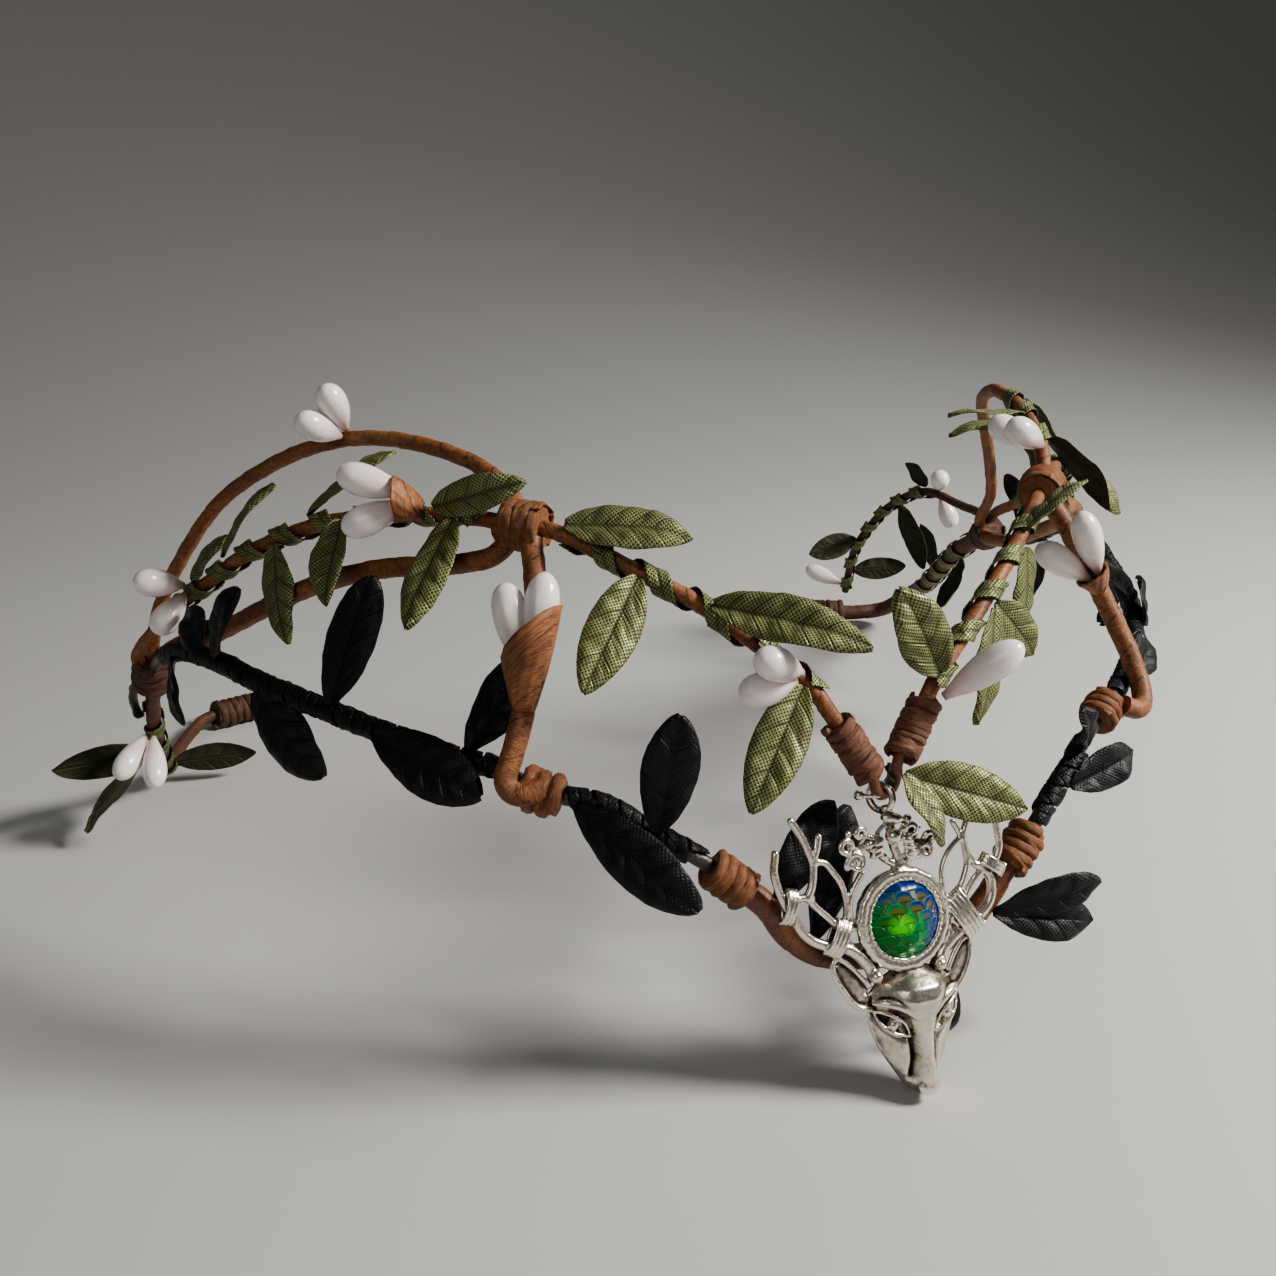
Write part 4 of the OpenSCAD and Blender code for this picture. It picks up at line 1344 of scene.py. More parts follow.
@dataclass
class Pips:
    """Glossy pips on their necks, and the paper cones that hold some of them."""

    fat: float = 4.5
    pitch: float = 1.5
    gap: float = 0.3
    sides: int = 28
    sink: float = 0.8
    flatter: float = 0.97

    def drop(self, tall: float) -> tuple[np.ndarray, list, np.ndarray]:
        """One pip along x.

        Args:
            tall: its length.

        Returns:
            Points, faces, and the share of its length at each point.
        """
        share = np.array([0, .05, .12, .2, .29, .39, .49, .59, .68, .77, .85, .915, .96, .985, 0.9985])
        wide = np.array([.26, .3, .42, .57, .72, .85, .94, .99, 1, .95, .84, .67, .47, .28, .09])
        a = np.linspace(0, 2 * np.pi, self.sides, endpoint=False)
        rings = [np.stack([np.full_like(a, x * tall), r * np.cos(a), r * np.sin(a) * self.flatter], -1)
                 for x, r in zip(share, wide * self.fat / 2)]
        return np.concatenate(rings), tube_faces(len(rings), self.sides), np.repeat(share, self.sides)

    def build(self, name: str, *spots: Spot) -> None:
        """Builds the pips of one node.

        Args:
            name: the CAD node.
            spots: where its pips stand.
        """
        shell = Shell()
        for spot in spots:
            n = HEAD.outward(spot.route.at(spot.s))
            ways = [leaving(n, row[0], row[1]) for row in spot.rows]
            apart = self.pitch / 2 * unit(ways[0] - ways[-1]) if len(ways) > 1 else np.zeros(3)
            for row, shift in zip(spot.rows, (apart, -apart)):
                points, faces, tall = self.drop(row[2])
                shell.add(spot.seat(row, self.gap).put(points) + shift, faces, tall=tall)
        fit(shell.make(name + "_gloss", PipGloss("pip_gloss")), "pearl_pip", name)

    def cone(self, name: str, spot: Spot, cone: Cone, node: str) -> None:
        """Builds the paper cone round the roots of a pair.

        Args:
            name: the piece's name.
            spot: the pair that it holds.
            cone: its measures.
            node: the CAD node that it is part of.
        """
        seat = spot.seat((np.array(spot.rows[0]) + np.array(spot.rows[1])) / 2, self.gap)
        foot = seat.put(np.array([cone.start, 0, 0]))
        wire = np.array([spot.route.at(q) for q in np.linspace(0, spot.route.last, 60)])
        sink = wire[np.argmin(np.linalg.norm(wire - foot, axis=1))] - foot
        a = np.linspace(0, 2 * np.pi, cone.sides, endpoint=False)
        tears = np.random.default_rng(int(cone.mouth * 10)).uniform(-0.3, 0.25, 8)
        torn = np.interp(a, np.linspace(0, 2 * np.pi, 9), np.append(tears, tears[0]))
        long, share = cone.end - cone.start, np.linspace(0, 1, cone.steps + 1)
        walls = [(f, 0.0) for f in share] + [(1 - f * (1 - 1.2 / long), cone.wall) for f in share]
        rings, along = [], []
        for f, wall in walls:
            x = cone.start + (long - cone.slant * np.cos(a) + torn) * f
            g = np.maximum((x - cone.start) / long, 0)
            fold = 0.12 * np.sin(3 * a + 3 * f) * f + 0.06 * np.sin(11 * a - 9 * f)
            r = np.maximum(cone.narrow + (cone.mouth - cone.narrow) * g ** 0.85 + fold - wall, 0.15)
            points = seat.put(np.stack([x, r * np.cos(a), r * np.sin(a)], -1))
            rings.append(points + np.outer(np.clip(1 - g, 0, 1) ** 2 * self.sink, sink))
            along.append(np.full(cone.sides, long * f * MM))
        ring = np.tile(np.stack([np.cos(a), np.sin(a), 0 * a], -1), (len(rings), 1))
        shell = Shell()
        shell.add(np.concatenate(rings), tube_faces(len(rings), cone.sides),
                  along=np.concatenate(along), ring=ring)
        fit(shell.make(name, Tape.CARAMEL.value), "brown_tape", node)


@dataclass
class Studio:
    """Floor, lights and camera."""

    azimuth: float = -21.04
    elevation: float = 17.93
    place: tuple[float, float, float] = (-0.08676, -0.22050, 0.11020)
    lens: float = 36.38
    floor_start: float = 280.0
    floor_curve: float = 1600.0
    floor_reach: float = 3000.0
    floor_steps: int = 30
    room: Colour = (0.8, 0.78, 0.73)
    room_power: float = 0.13

    def camera(self) -> None:
        """Sets the camera at the photograph's viewpoint."""
        a, e = math.radians(self.azimuth), math.radians(self.elevation)
        back = Vector((math.sin(a) * math.cos(e), -math.cos(a) * math.cos(e), math.sin(e)))
        right = Vector((math.cos(a), math.sin(a), 0))
        up = back.cross(right)
        data = bpy.data.cameras.new("camera")
        data.lens, data.sensor_width = self.lens, 36.0
        data.clip_start, data.clip_end = 0.01, 20.0
        camera = placed("camera", data)
        camera.matrix_world = Matrix.Translation(self.place) @ Matrix((right, up, back)).transposed().to_4x4()
        bpy.context.scene.camera = camera

    def light(self, name: str, place: Row, size: float, power: float, tint: Colour = (1, 1, 1)) -> None:
        """Adds one soft lamp that looks at the object.

        Args:
            name: the lamp's name.
            place: where it stands, in metres.
            size: its width.
            power: its power, in watts.
            tint: its colour.
        """
        data = bpy.data.lights.new(name, "AREA")
        data.shape, data.size, data.energy, data.color = "DISK", size, power, tint
        lamp = placed(name, data)
        lamp.location = place
        lamp.rotation_mode = "QUATERNION"
        lamp.rotation_quaternion = (Vector((0, -0.04, 0.04)) - Vector(place)).to_track_quat("-Z", "Y")

    def floor(self) -> None:
        """Lays a pale floor that turns up behind the object."""
        across = np.linspace(-self.floor_reach, self.floor_reach, 9)
        rows = [(-self.floor_reach, 0.0), (-1500.0, 0.0), (-500.0, 0.0), (self.floor_start, 0.0)]
        rows += [(self.floor_start + self.floor_curve * math.sin(a), self.floor_curve * (1 - math.cos(a)))
                 for a in np.linspace(0.05, math.pi / 2, self.floor_steps)]
        points = np.array([[x, y, z - 0.03] for y, z in rows for x in across])
        n = len(across)
        faces = [(c, c + 1, c + n + 1, c + n) for c in range(n * (len(rows) - 1)) if c % n < n - 1]
        shell = Shell()
        shell.add(points, faces)
        shell.make("studio_floor", Plaster("floor_plaster"))

    def build(self) -> None:
        """Sets the floor, the lamps and the soft surroundings."""
        self.floor()
        self.light("key_lamp", (0.42, -0.28, 0.42), 0.18, 6.1, (1.0, 0.97, 0.92))
        self.light("front_lamp", (-0.5, -0.6, 0.5), 0.5, 1.0)
        self.light("rear_lamp", (0.45, 0.4, 0.5), 0.35, 0.45, (0.96, 0.98, 1.0))
        world = bpy.data.worlds.new("soft_room")
        bpy.context.scene.world = world
        world.use_nodes = True
        sky = world.node_tree.nodes["Background"].inputs
        sky[0].default_value = (*self.room, 1)
        sky[1].default_value = self.room_power
        bpy.context.scene.view_settings.look = "AgX - Medium High Contrast"


@dataclass
class Frame:
    """All the wires by name, with what is tied to them."""

    band_d: float = 2.1
    yoke_d: float = 2.8
    vine_d: float = 2.2
    arch_d: float = 2.3
    inner_d: float = 2.8
    strut_d: float = 3.0
    tail_d: float = 2.6
    thick_tail_d: float = 4.0
    branch_d: float = 2.0
    bail_wire_d: float = 1.5

    def __post_init__(self) -> None:
        """Bends every wire."""
        left_knot, right_knot = [-95.5, 35.6, 2.2], [99.1, 44.1, 2.3]
        self.band_left = Route([
            [-15.3, 30.3, 0], [-18.2, 33.8, 0], [-22, 37.2, 0], [-26, 40.4, 0], [-31, 41.5, 0],
            [-34.5, 43.8, 0], [-39.5, 44.9, 0], [-46, 46.3, 0], [-53, 47.5, 0], [-62, 48.2, 0],
            [-70, 48.5, 0.5], [-77.5, 47, 1], [-84, 43.5, 1], [-93, 37.6, 1.6]], self.band_d / 2,
            tail=[left_knot])
        self.band_right = Route([
            [13.7, 27.2, 0], [16.2, 30.8, 0], [21, 36.3, 0], [25.5, 40.2, 0], [29.5, 42, 0],
            [34.5, 43.3, 0], [41, 45, 0], [48, 46.8, 0], [56, 47.5, 0], [63.5, 50, 0], [69, 53.6, 0],
            [75, 54.6, 0.6], [83, 50.6, 1.2], [90, 46, 1.6], [96.2, 43.4, 2]], self.band_d / 2,
            tail=[right_knot])
        self.yoke = Route([
            [-14.7, 29.5, 0], [-12.2, 26.4, 0], [-10, 21.5, 0], [-6.5, 18, 0], [0, 16.5, 0], [6.2, 17, 0],
            [9.6, 20.4, 0], [11.6, 24.1, 0], [13.2, 26.5, 0]], self.yoke_d / 2)
        self.bail = Route([
            [-3.8, 45.1, 0], [-2.75, 42.5, 0], [-2.2, 40.3, -0.9], [-1.25, 38.85, -2.05], [0.2, 39.4, -2.7],
            [0.35, 41.3, -1.9], [-0.2, 43.2, -0.4], [0.2, 45, 0], [1.2, 46.9, 0]], self.bail_wire_d / 2)
        self.vine_left = Route([
            [-4.3, 46.1, 0], [-7.5, 53.5, 0], [-10.5, 57.3, 0], [-13.5, 60.4, 0], [-18, 64.3, 0],
            [-24, 67.8, 0], [-30.5, 71, 0], [-35.5, 72, 0], [-46.5, 72.3, 0], [-58, 70.2, 0],
            [-64, 67.8, 0], [-71.4, 63.3, 0], [-79, 56.4, 0], [-88, 48.5, 1], [-93.8, 39.2, 4.6]],
            self.vine_d / 2, tail=[left_knot])
        self.vine_right = Route([
            [1.6, 47.6, 0], [4.5, 52.6, 0], [11.3, 59.5, 0], [16.7, 63.4, 0], [23.2, 67.2, 0],
            [28.6, 69.5, 0], [34.5, 71.2, 0], [46.5, 72.2, 0], [58, 70, 0], [66, 66.8, 0], [74, 62.6, -0.5],
            [82, 58.2, -1.4], [90, 53.4, -0.8], [97.9, 48.4, 2.9]], self.vine_d / 2, tail=[right_knot])
        self.arch_left = Route([
            [-37.7, 75.3, 0], [-41, 77.4, 0], [-46, 79, 0], [-53.3, 80, 0], [-61, 80, 0],
            [-68.5, 78.8, 0.5], [-77, 75, 1], [-85, 68, 1.5], [-89, 59.5, 1.5], [-93, 49, 2],
            [-96.4, 39.6, 2.4]], self.arch_d / 2, lead=[[-35.9, 72.8, 0.3]], tail=[left_knot])
        self.arch_right = Route([
            [37.2, 75, 2.6], [39.5, 77.6, 4], [42.5, 79.4, 4], [48, 81, 3.5], [56, 82, 2], [65, 81.5, 0.5],
            [74, 78.5, -2], [82, 72, -3.5], [88, 63, -4], [92.5, 55, -3], [98.6, 47.2, -0.3]],
            self.arch_d / 2, lead=[[35, 71.9, 0.8]], tail=[right_knot])
        self.inner_left = Route([
            [-38.6, 67.9, -1.4], [-44.6, 66, -2.8], [-51.6, 64.6, -3.2], [-59, 61.6, -3.2],
            [-65.3, 57.6, -3.2], [-73, 52, -3.4], [-81, 46.8, -3.6], [-88, 43.6, -3.4], [-95, 39.2, -0.9]],
            self.inner_d / 2, lead=[[-36, 71.2, -0.5]], tail=[left_knot])
        self.inner_right = Route([
            [38.3, 68.3, -1], [44.6, 66, -2.8], [51.6, 64.6, -3.2], [59, 61.6, -3.2], [66, 58.6, -3.6],
            [73, 55, -4.2], [81, 50.6, -4.8], [88, 46.4, -4.8], [96.8, 43.8, -1.3]], self.inner_d / 2,
            lead=[[35.2, 70.6, -0.4]], tail=[right_knot])
        self.strut_left = Route([
            [-33.8, 41, 4], [-33.4, 44.5, 3.2], [-32.8, 49, 2], [-32.4, 55.8, 0.6], [-32.5, 62, 0],
            [-33.3, 66.8, 0]], self.strut_d / 2, lead=[[-30.6, 43.2, 2.4], [-32, 42.4, 3.5],
            [-33, 43, 3.6]], tail=[[-34.2, 70.4, 0.2]], skip=1)
        self.strut_right = Route([
            [31.5, 40.2, 3.6], [33.2, 43.5, 3.4], [34.3, 48, 2], [34.8, 54, 0.5], [34.7, 59, 0],
            [34.6, 64, 0], [34.5, 66.4, 0]], self.strut_d / 2, lead=[[29, 42.6, 2.8], [30.2, 41.6, 3.8],
            [31.8, 41.8, 4]], tail=[[34.5, 70, 0]], skip=1)
        self.tail_left = Route([
            [-94.8, 38.4, 2], [-95.6, 35, 2.2], [-97.4, 30, 2.8], [-100.9, 22, 4.2], [-105.6, 14, 5.5],
            [-110.8, 7, 7.7], [-115.1, 3.6, 10.3], [-120.1, 2.8, 12.6], [-125.2, 2.8, 14.8],
            [-129.6, 3.3, 15.8], [-133.4, 3.3, 12.4], [-137.2, 3.3, 9]], self.tail_d / 2)
        self.tail_right = Route([
            [98, 45.4, 1.6], [99.3, 43.8, 2.4], [101.4, 41.8, 4], [108.6, 35, 9.3], [114.8, 26, 18.8],
            [119.2, 19, 27.7], [123.4, 12.5, 37.6], [127.6, 5.3, 44.5], [130.6, 3.8, 41.7],
            [134.5, 3.7, 38], [139.1, 3.7, 35.4]], self.thick_tail_d / 2)
        self.branch = Route([
            [101.5, 46.4, 6.1], [108.6, 46.4, 11.1], [114.4, 47.6, 13.7], [119.4, 44.5, 16.7],
            [124.2, 37.9, 20], [129, 25.8, 26.7], [131.4, 11.6, 35.2]], self.branch_d / 2,
            lead=[right_knot])


def dress_wires(w: Frame, spiral: Spiral) -> None:
    """Lays the tape of every wire, and the cord of every binding.

    Args:
        w: the wires.
        spiral: the trees that lay tape, cord and ribbon.
    """
    wires = TapedWires(spiral)
    for tape, slot, routes in (
            (Tape.BAND, "dark_tape", {"lower_band_left": w.band_left, "lower_band_right": w.band_right}),
            (Tape.YOKE, "brown_tape", {"front_yoke": w.yoke, "bail_wire": w.bail}),
            (Tape.CARAMEL, "brown_tape", {
                "upper_vine_left": w.vine_left, "upper_vine_right": w.vine_right,
                "arch_left": w.arch_left, "arch_right": w.arch_right,
                "inner_vine_left": w.inner_left, "inner_vine_right": w.inner_right,
                "strut_left": w.strut_left, "strut_right": w.strut_right}),
            (Tape.TAIL, "rear_tape", {"tail_left": w.tail_left, "tail_right": w.tail_right}),
            (Tape.REAR, "rear_tape", {"branch_right": w.branch})):
        for name, route in routes.items():
            wires.build(name, route, tape, slot)
    windings = Windings(spiral)
    for name, route, s, size, wrap, cord, slot in (
            ("side_winding_left", w.band_left, 0, (3, 7.2, 1), Wrap.CORD, Cord.SIDE, "raffia_cord"),
            ("side_winding_right", w.band_right, 0, (3, 7.2, 1), Wrap.CORD, Cord.SIDE, "raffia_cord"),
            ("upper_winding_left", w.vine_left, 0, (2.45, 9, 1), Wrap.PLEATS, Cord.RAFFIA, "raffia_cord"),
            ("upper_winding_right", w.vine_right, 0, (2.45, 9, 1), Wrap.PLEATS, Cord.RAFFIA, "raffia_cord"),
            ("strut_knot_left", w.band_left, 3.98, (3.2, 6.2, 1.5), Wrap.CORD, Cord.SIDE, "tape_cord"),
            ("strut_knot_right", w.band_right, 3.6, (3.1, 6, 1.5), Wrap.CORD, Cord.SIDE, "tape_cord"),
            ("junction_knot_left", w.vine_left, 7, (3.7, 6.4, 1), Wrap.FLAT, Cord.SIDE, "tape_cord"),
            ("junction_knot_right", w.vine_right, 6, (3.7, 6.4, 1), Wrap.FLAT, Cord.SIDE, "tape_cord"),
            ("rear_knot_left", w.tail_left, 1, (3.8, 6.6, 1), Wrap.FLAT, Cord.REAR, "tape_cord"),
            ("rear_knot_right", w.tail_right, 1, (3.8, 6.6, 1), Wrap.FLAT, Cord.REAR, "tape_cord"),
            ("end_coil_left", w.tail_left, 10, (3.3, 13, 0.65), Wrap.CORD, Cord.REAR, "tape_cord"),
            ("end_coil_right", w.tail_right, 9, (3.7, 12, 0.65), Wrap.CORD, Cord.REAR, "tape_cord")):
        windings.build(name, route, s, size, wrap, cord, slot)


def dress_leaves(w: Frame, spiral: Spiral) -> None:
    """Cuts and seats every leaf, with the ribbons that they grow from.

    Args:
        w: the wires.
        spiral: the trees that lay tape, cord and ribbon.
    """
    leaves = Leaves(spiral)
    green, black = Cloth.GREEN, Cloth.BLACK
    for name, route, start, end, cloth, rows in (
            ("green_leaves_left_front", w.vine_left, 1, 6, green, (
                (6, -2, 9, 10, 16.3, 7, 12), (4.8, -110, 10, 10, 16.8, 7, 8),
                (3.6, -23, 30, 10, 20.5, 7, 20), (1.2, -122, 10, -15, 17, 7, 10))),
            ("green_leaves_left_rear", w.vine_left, 7.5, 13, green, (
                (7.7, -92, 10, -10, 17, 7, 6), (7.9, 12, 16, -30, 14, 5.2, 20),
                (8.9, -67, 8, -5, 13.5, 6.5, 30), (9.6, 52, 8, 25, 15.5, 6.5, 10),
                (11.4, 73, 8, 15, 13.5, 6, 10), (10.4, -58, -11, -5, 15, 6.5, 10),
                (12.1, 58, 4, 0, 10.5, 5, 10), (12.5, -44, -21, -5, 9.5, 5, 10))),
            ("green_leaves_right_front", w.vine_right, 1, 5, green, (
                (1.1, 125, 27, 20, 13.5, 7.6, 12), (2.2, -108, -10, 12, 15.5, 5.6, 8),
                (3.8, -100, -24, 8, 11, 6, 8), (4, 26, 30, 82, 12.5, 5.4, 10),
                (2.4, -46, -14, -25, 12, 6.4, 8))),
            ("green_leaves_right_rear", w.vine_right, 7, 11.5, green, (
                (7.9, -80, 14, -35, 13, 6.5, 8), (9.2, 70, 12, -10, 14, 6.5, 10),
                (10.8, 46, 22, 0, 13, 6.5, 8))),
            ("green_leaves_arch_right", w.arch_right, 0.8, 3.8, green, (
                (1.6, 134, -28, -22, 13, 4.8, 10), (2.2, 122, -29, -22, 12, 4.8, 10),
                (0.9, -90, 6, 50, 14, 6, 8))),
            ("green_leaves_tail_left", w.tail_left, 2.5, 6, green, (
                (4.3, 15, 47, 10, 20, 6.5, 10), (4, -33, 36, 10, 19, 6.5, 10),
                (5.4, 177, -66, 0, 15.6, 6, 8), (2.7, 60, 14, 0, 8, 5, 10))),
            ("green_leaves_tail_right", w.tail_right, 2.5, 5, green, (
                (2.9, -97, -36, -20, 14.5, 7, 8), (4.4, 68, 10, 20, 12, 6.5, 10))),
            ("green_leaves_branch", w.branch, 2, 6, green, (
                (4.7, -20, -48, 0, 14.1, 6.5, 10), (5.5, 173, 19, 20, 14, 6, 10),
                (3.4, -122, -8, 0, 17, 6, 8), (2.2, 40, 16, 0, 7.5, 4.5, 10))),
            ("bail_leaves", w.bail, 4.4, 5.4, green, (
                (4.9, -20, 22, 10, 16.8, 7.4, 14), (5.2, -66, 36, 30, 9.8, 4.6, 10))),
            ("black_leaves_left_front", w.band_left, 1, 3.5, black, (
                (3.3, -34, 24, 0, 19.5, 7.4, 6), (1.9, 80, 18, 0, 16, 7.2, 6))),
            ("black_leaves_left_rear", w.band_left, 5, 12, black, (
                (6.95, -15, 8, 10, 17.5, 7.8, 8), (5.6, 67, -20, 10, 15.5, 7.6, 6),
                (7.8, 79, 4, -5, 18, 8, 6), (8.9, -36, -8, 5, 15.5, 8, 8), (9.8, 60, 20, 0, 13, 6, 20),
                (10.2, 154, 4, -20, 10, 6, 10), (11, 42, -16, 30, 8.5, 5, 10),
                (11.2, -49, 4, -10, 11, 6, 8))),
            ("black_leaves_right_front", w.band_right, 1, 2.5, black, (
                (1.7, 15, 19, 20, 12.5, 6, 20), (2.4, 120, 24, 0, 7.5, 4.6, 20))),
            ("black_leaves_right_rear", w.band_right, 4.5, 13.5, black, (
                (5.1, 21, 10, 20, 10.5, 6, 16), (6.8, 27, 6, -5, 10.5, 7, 10),
                (7.6, 109, -18, -40, 13, 7, 8), (9, -60, -10, 0, 13, 7, 8), (11.3, 100, 0, 0, 14, 7.5, 8),
                (12.6, -80, -14, -20, 14, 7.5, 8), (13.2, 60, 16, 0, 13, 7, 10))),
            ("yoke_leaves_left", w.yoke, 1, 1, black, (
                (1, 46, -25, 15, 15.2, 6.5, 8), (2.4, 60, -22, -10, 18, 7.6, 6))),
            ("yoke_leaves_right", w.yoke, 5, 5, black, (
                (6.1, 12, 30, -5, 15, 7, 8), (6, -10, 26, 15, 15.5, 6.5, 16), (4.6, -82, 6, -40, 13, 5, 8)))):
        slot = "green_leaf_cloth" if cloth is green else "black_leaf_satin"
        leaves.build(name, route, start, end, rows, cloth, slot)


def dress_pips(w: Frame) -> None:
    """Seats every pip and paper cone.

    Args:
        w: the wires.
    """
    pips = Pips()
    ribbon_r = w.vine_d / 2 + 0.65
    strut_left = Spot(w.strut_left, 3, 3.2, ((107, 4, 11), (87, 4, 12)), (65, 60))
    strut_right = Spot(w.strut_right, 4, 3.4, ((122, -20, 10), (112, 14, 11)))
    vine = Spot(w.vine_left, 8.1, 3.9, ((-172, 34, 9.5), (-142, 8, 9.5)))
    top = [Spot(w.branch, 1.7, w.branch_d / 2 + 0.1, (row,)) for row in ((120, -25, 7), (-112, 0, 8))]
    for name, *spots in (
            ("pips_strut_left", strut_left),
            ("pips_strut_right", strut_right),
            ("pips_arch_left", Spot(w.arch_left, 4.7, w.arch_d / 2, ((8, 69, 9), (-58, 60, 9)))),
            ("pips_arch_right", Spot(w.arch_right, 0.3, w.arch_d / 2 + 0.55,
                                     ((142, 2, 8.5), (118, -14, 8.5)))),
            ("pips_vine_left", vine),
            ("pips_front_left", Spot(w.vine_left, 1.45, ribbon_r + 0.2, ((168, 38, 9), (190, 17, 8.5)))),
            ("pip_front_right", Spot(w.vine_right, 0.75, 2.6, ((33, 38, 12),))),
            ("pips_rear_left", Spot(w.vine_left, 12.2, ribbon_r, ((-9, 62, 9), (-62, 24, 8)))),
            ("pips_tail_left", Spot(w.tail_left, 3.1, 1.9, ((-34, -6, 11), (-31, 23, 10)))),
            ("pip_branch_end", Spot(w.branch, 5.9, 1.65, ((18, -5, 11),))),
            ("pips_branch_top", *top)):
        pips.build(name, *spots)
    pips.cone("strut_left_cone", strut_left, Cone(-5.2, 4.4, 1.3, 3.95, 3.1), "strut_left")
    pips.cone("strut_right_cone", strut_right, Cone(-3, 1, 1.2, 2.7), "strut_right")
    pips.cone("vine_left_cap", vine, Cone(-1.4, 1.8, 1.6, 3.2), "pip_cap_left")


@dataclass
class Cast:
    """Soft forms in millimetres that flow together into one casting: across, up and forward."""

    voxel: float = 0.17
    least: float = 0.15
    rows: int = 8
    sides: int = 12

    def __post_init__(self) -> None:
        """Starts with an empty mould."""
        self.shell = Shell()
        a = np.linspace(0, 2 * np.pi, self.sides, endpoint=False)
        b = np.linspace(-np.pi / 2, np.pi / 2, self.rows + 1)[1:-1]
        self.ball = np.concatenate([np.stack([np.cos(e) * np.cos(a), np.cos(e) * np.sin(a),
                                              np.full(self.sides, np.sin(e))], -1) for e in b])
        self.skin = tube_faces(self.rows - 1, self.sides)

    def lump(self, place: Row, radii: Row, turn: float = 0.0) -> None:
        """Adds one rounded lump, turned in the pendant's plane.

        Args:
            place: its middle.
            radii: its three radii.
            turn: the angle, in degrees.
        """
        c, s = math.cos(math.radians(turn)), math.sin(math.radians(turn))
        points = self.ball * np.array(radii)
        points = points @ np.array([[c, s, 0], [-s, c, 0], [0, 0, 1]])
        self.shell.add(points + np.array(place), self.skin)

    def stroke(self, rows: Sequence[Row]) -> None:
        """Adds a smooth, round-ended stroke through rows of across, up, forward and radius.

        Args:
            rows: the rows.
        """
        p = np.array(rows, float)
        ends = np.concatenate([2 * p[:1] - p[1:2], p, 2 * p[-1:] - p[-2:-1]])
        dots = []
        for i in range(1, len(p)):
            a, b, c, d = ends[i - 1:i + 3]
            count = max(int(np.linalg.norm(c[:3] - b[:3]) / (0.4 * min(b[3], c[3]))), 1)
            for t in np.arange(count) / count:
                dots.append(curved(a, b, c, d, t))
        for dot in [*dots, p[-1]]:
            r = max(dot[3], self.least)
            self.lump(dot[:3], (r, r, r))

    def flat(self, rows: Sequence[Row], forward: float, first: float, last: float) -> None:
        """Adds a stroke given across and up alone, that thins from one radius to another."""
        shares = np.linspace(0, 1, len(rows))
        self.stroke([(u, v, forward, first + (last - first) * k) for (u, v), k in zip(rows, shares)])

    def set_solid(self) -> tuple[np.ndarray, np.ndarray, np.ndarray]:
        """Lets the forms flow together.

        Returns:
            Points, four-cornered faces and edges of one closed skin.
        """
        mesh = bpy.data.meshes.new("mould")
        mesh.from_pydata(np.concatenate(self.shell.points).tolist(), [], self.shell.faces)
        mould = placed("mould", mesh)
        flow = mould.modifiers.new("flow", "REMESH")
        flow.mode, flow.voxel_size = "VOXEL", self.voxel
        graph = bpy.context.evaluated_depsgraph_get()
        made = bpy.data.meshes.new_from_object(mould.evaluated_get(graph))
        points = np.zeros(len(made.vertices) * 3)
        made.vertices.foreach_get("co", points)
        faces = np.array([face.vertices[:] for face in made.polygons])
        edges = np.zeros(len(made.edges) * 2, int)
        made.edges.foreach_get("vertices", edges)
        bpy.data.objects.remove(mould)
        bpy.data.meshes.remove(made)
        return points.reshape(-1, 3), faces, edges.reshape(-1, 2)


def settled(points: np.ndarray, edges: np.ndarray, passes: int, share: float = 0.5) -> np.ndarray:
    """Points moved towards the mean of their neighbours, over several passes.

    Args:
        points: the points.
        edges: pairs of neighbours.
        passes: how many passes there are.
        share: how far each pass goes.

    Returns:
        The moved points.
    """
    count = np.bincount(edges.ravel(), minlength=len(points))[:, None]
    for _ in range(passes):
        total = np.zeros_like(points)
        np.add.at(total, edges[:, 0], points[edges[:, 1]])
        np.add.at(total, edges[:, 1], points[edges[:, 0]])
        points = points + share * (total / np.maximum(count, 1) - points)
    return points


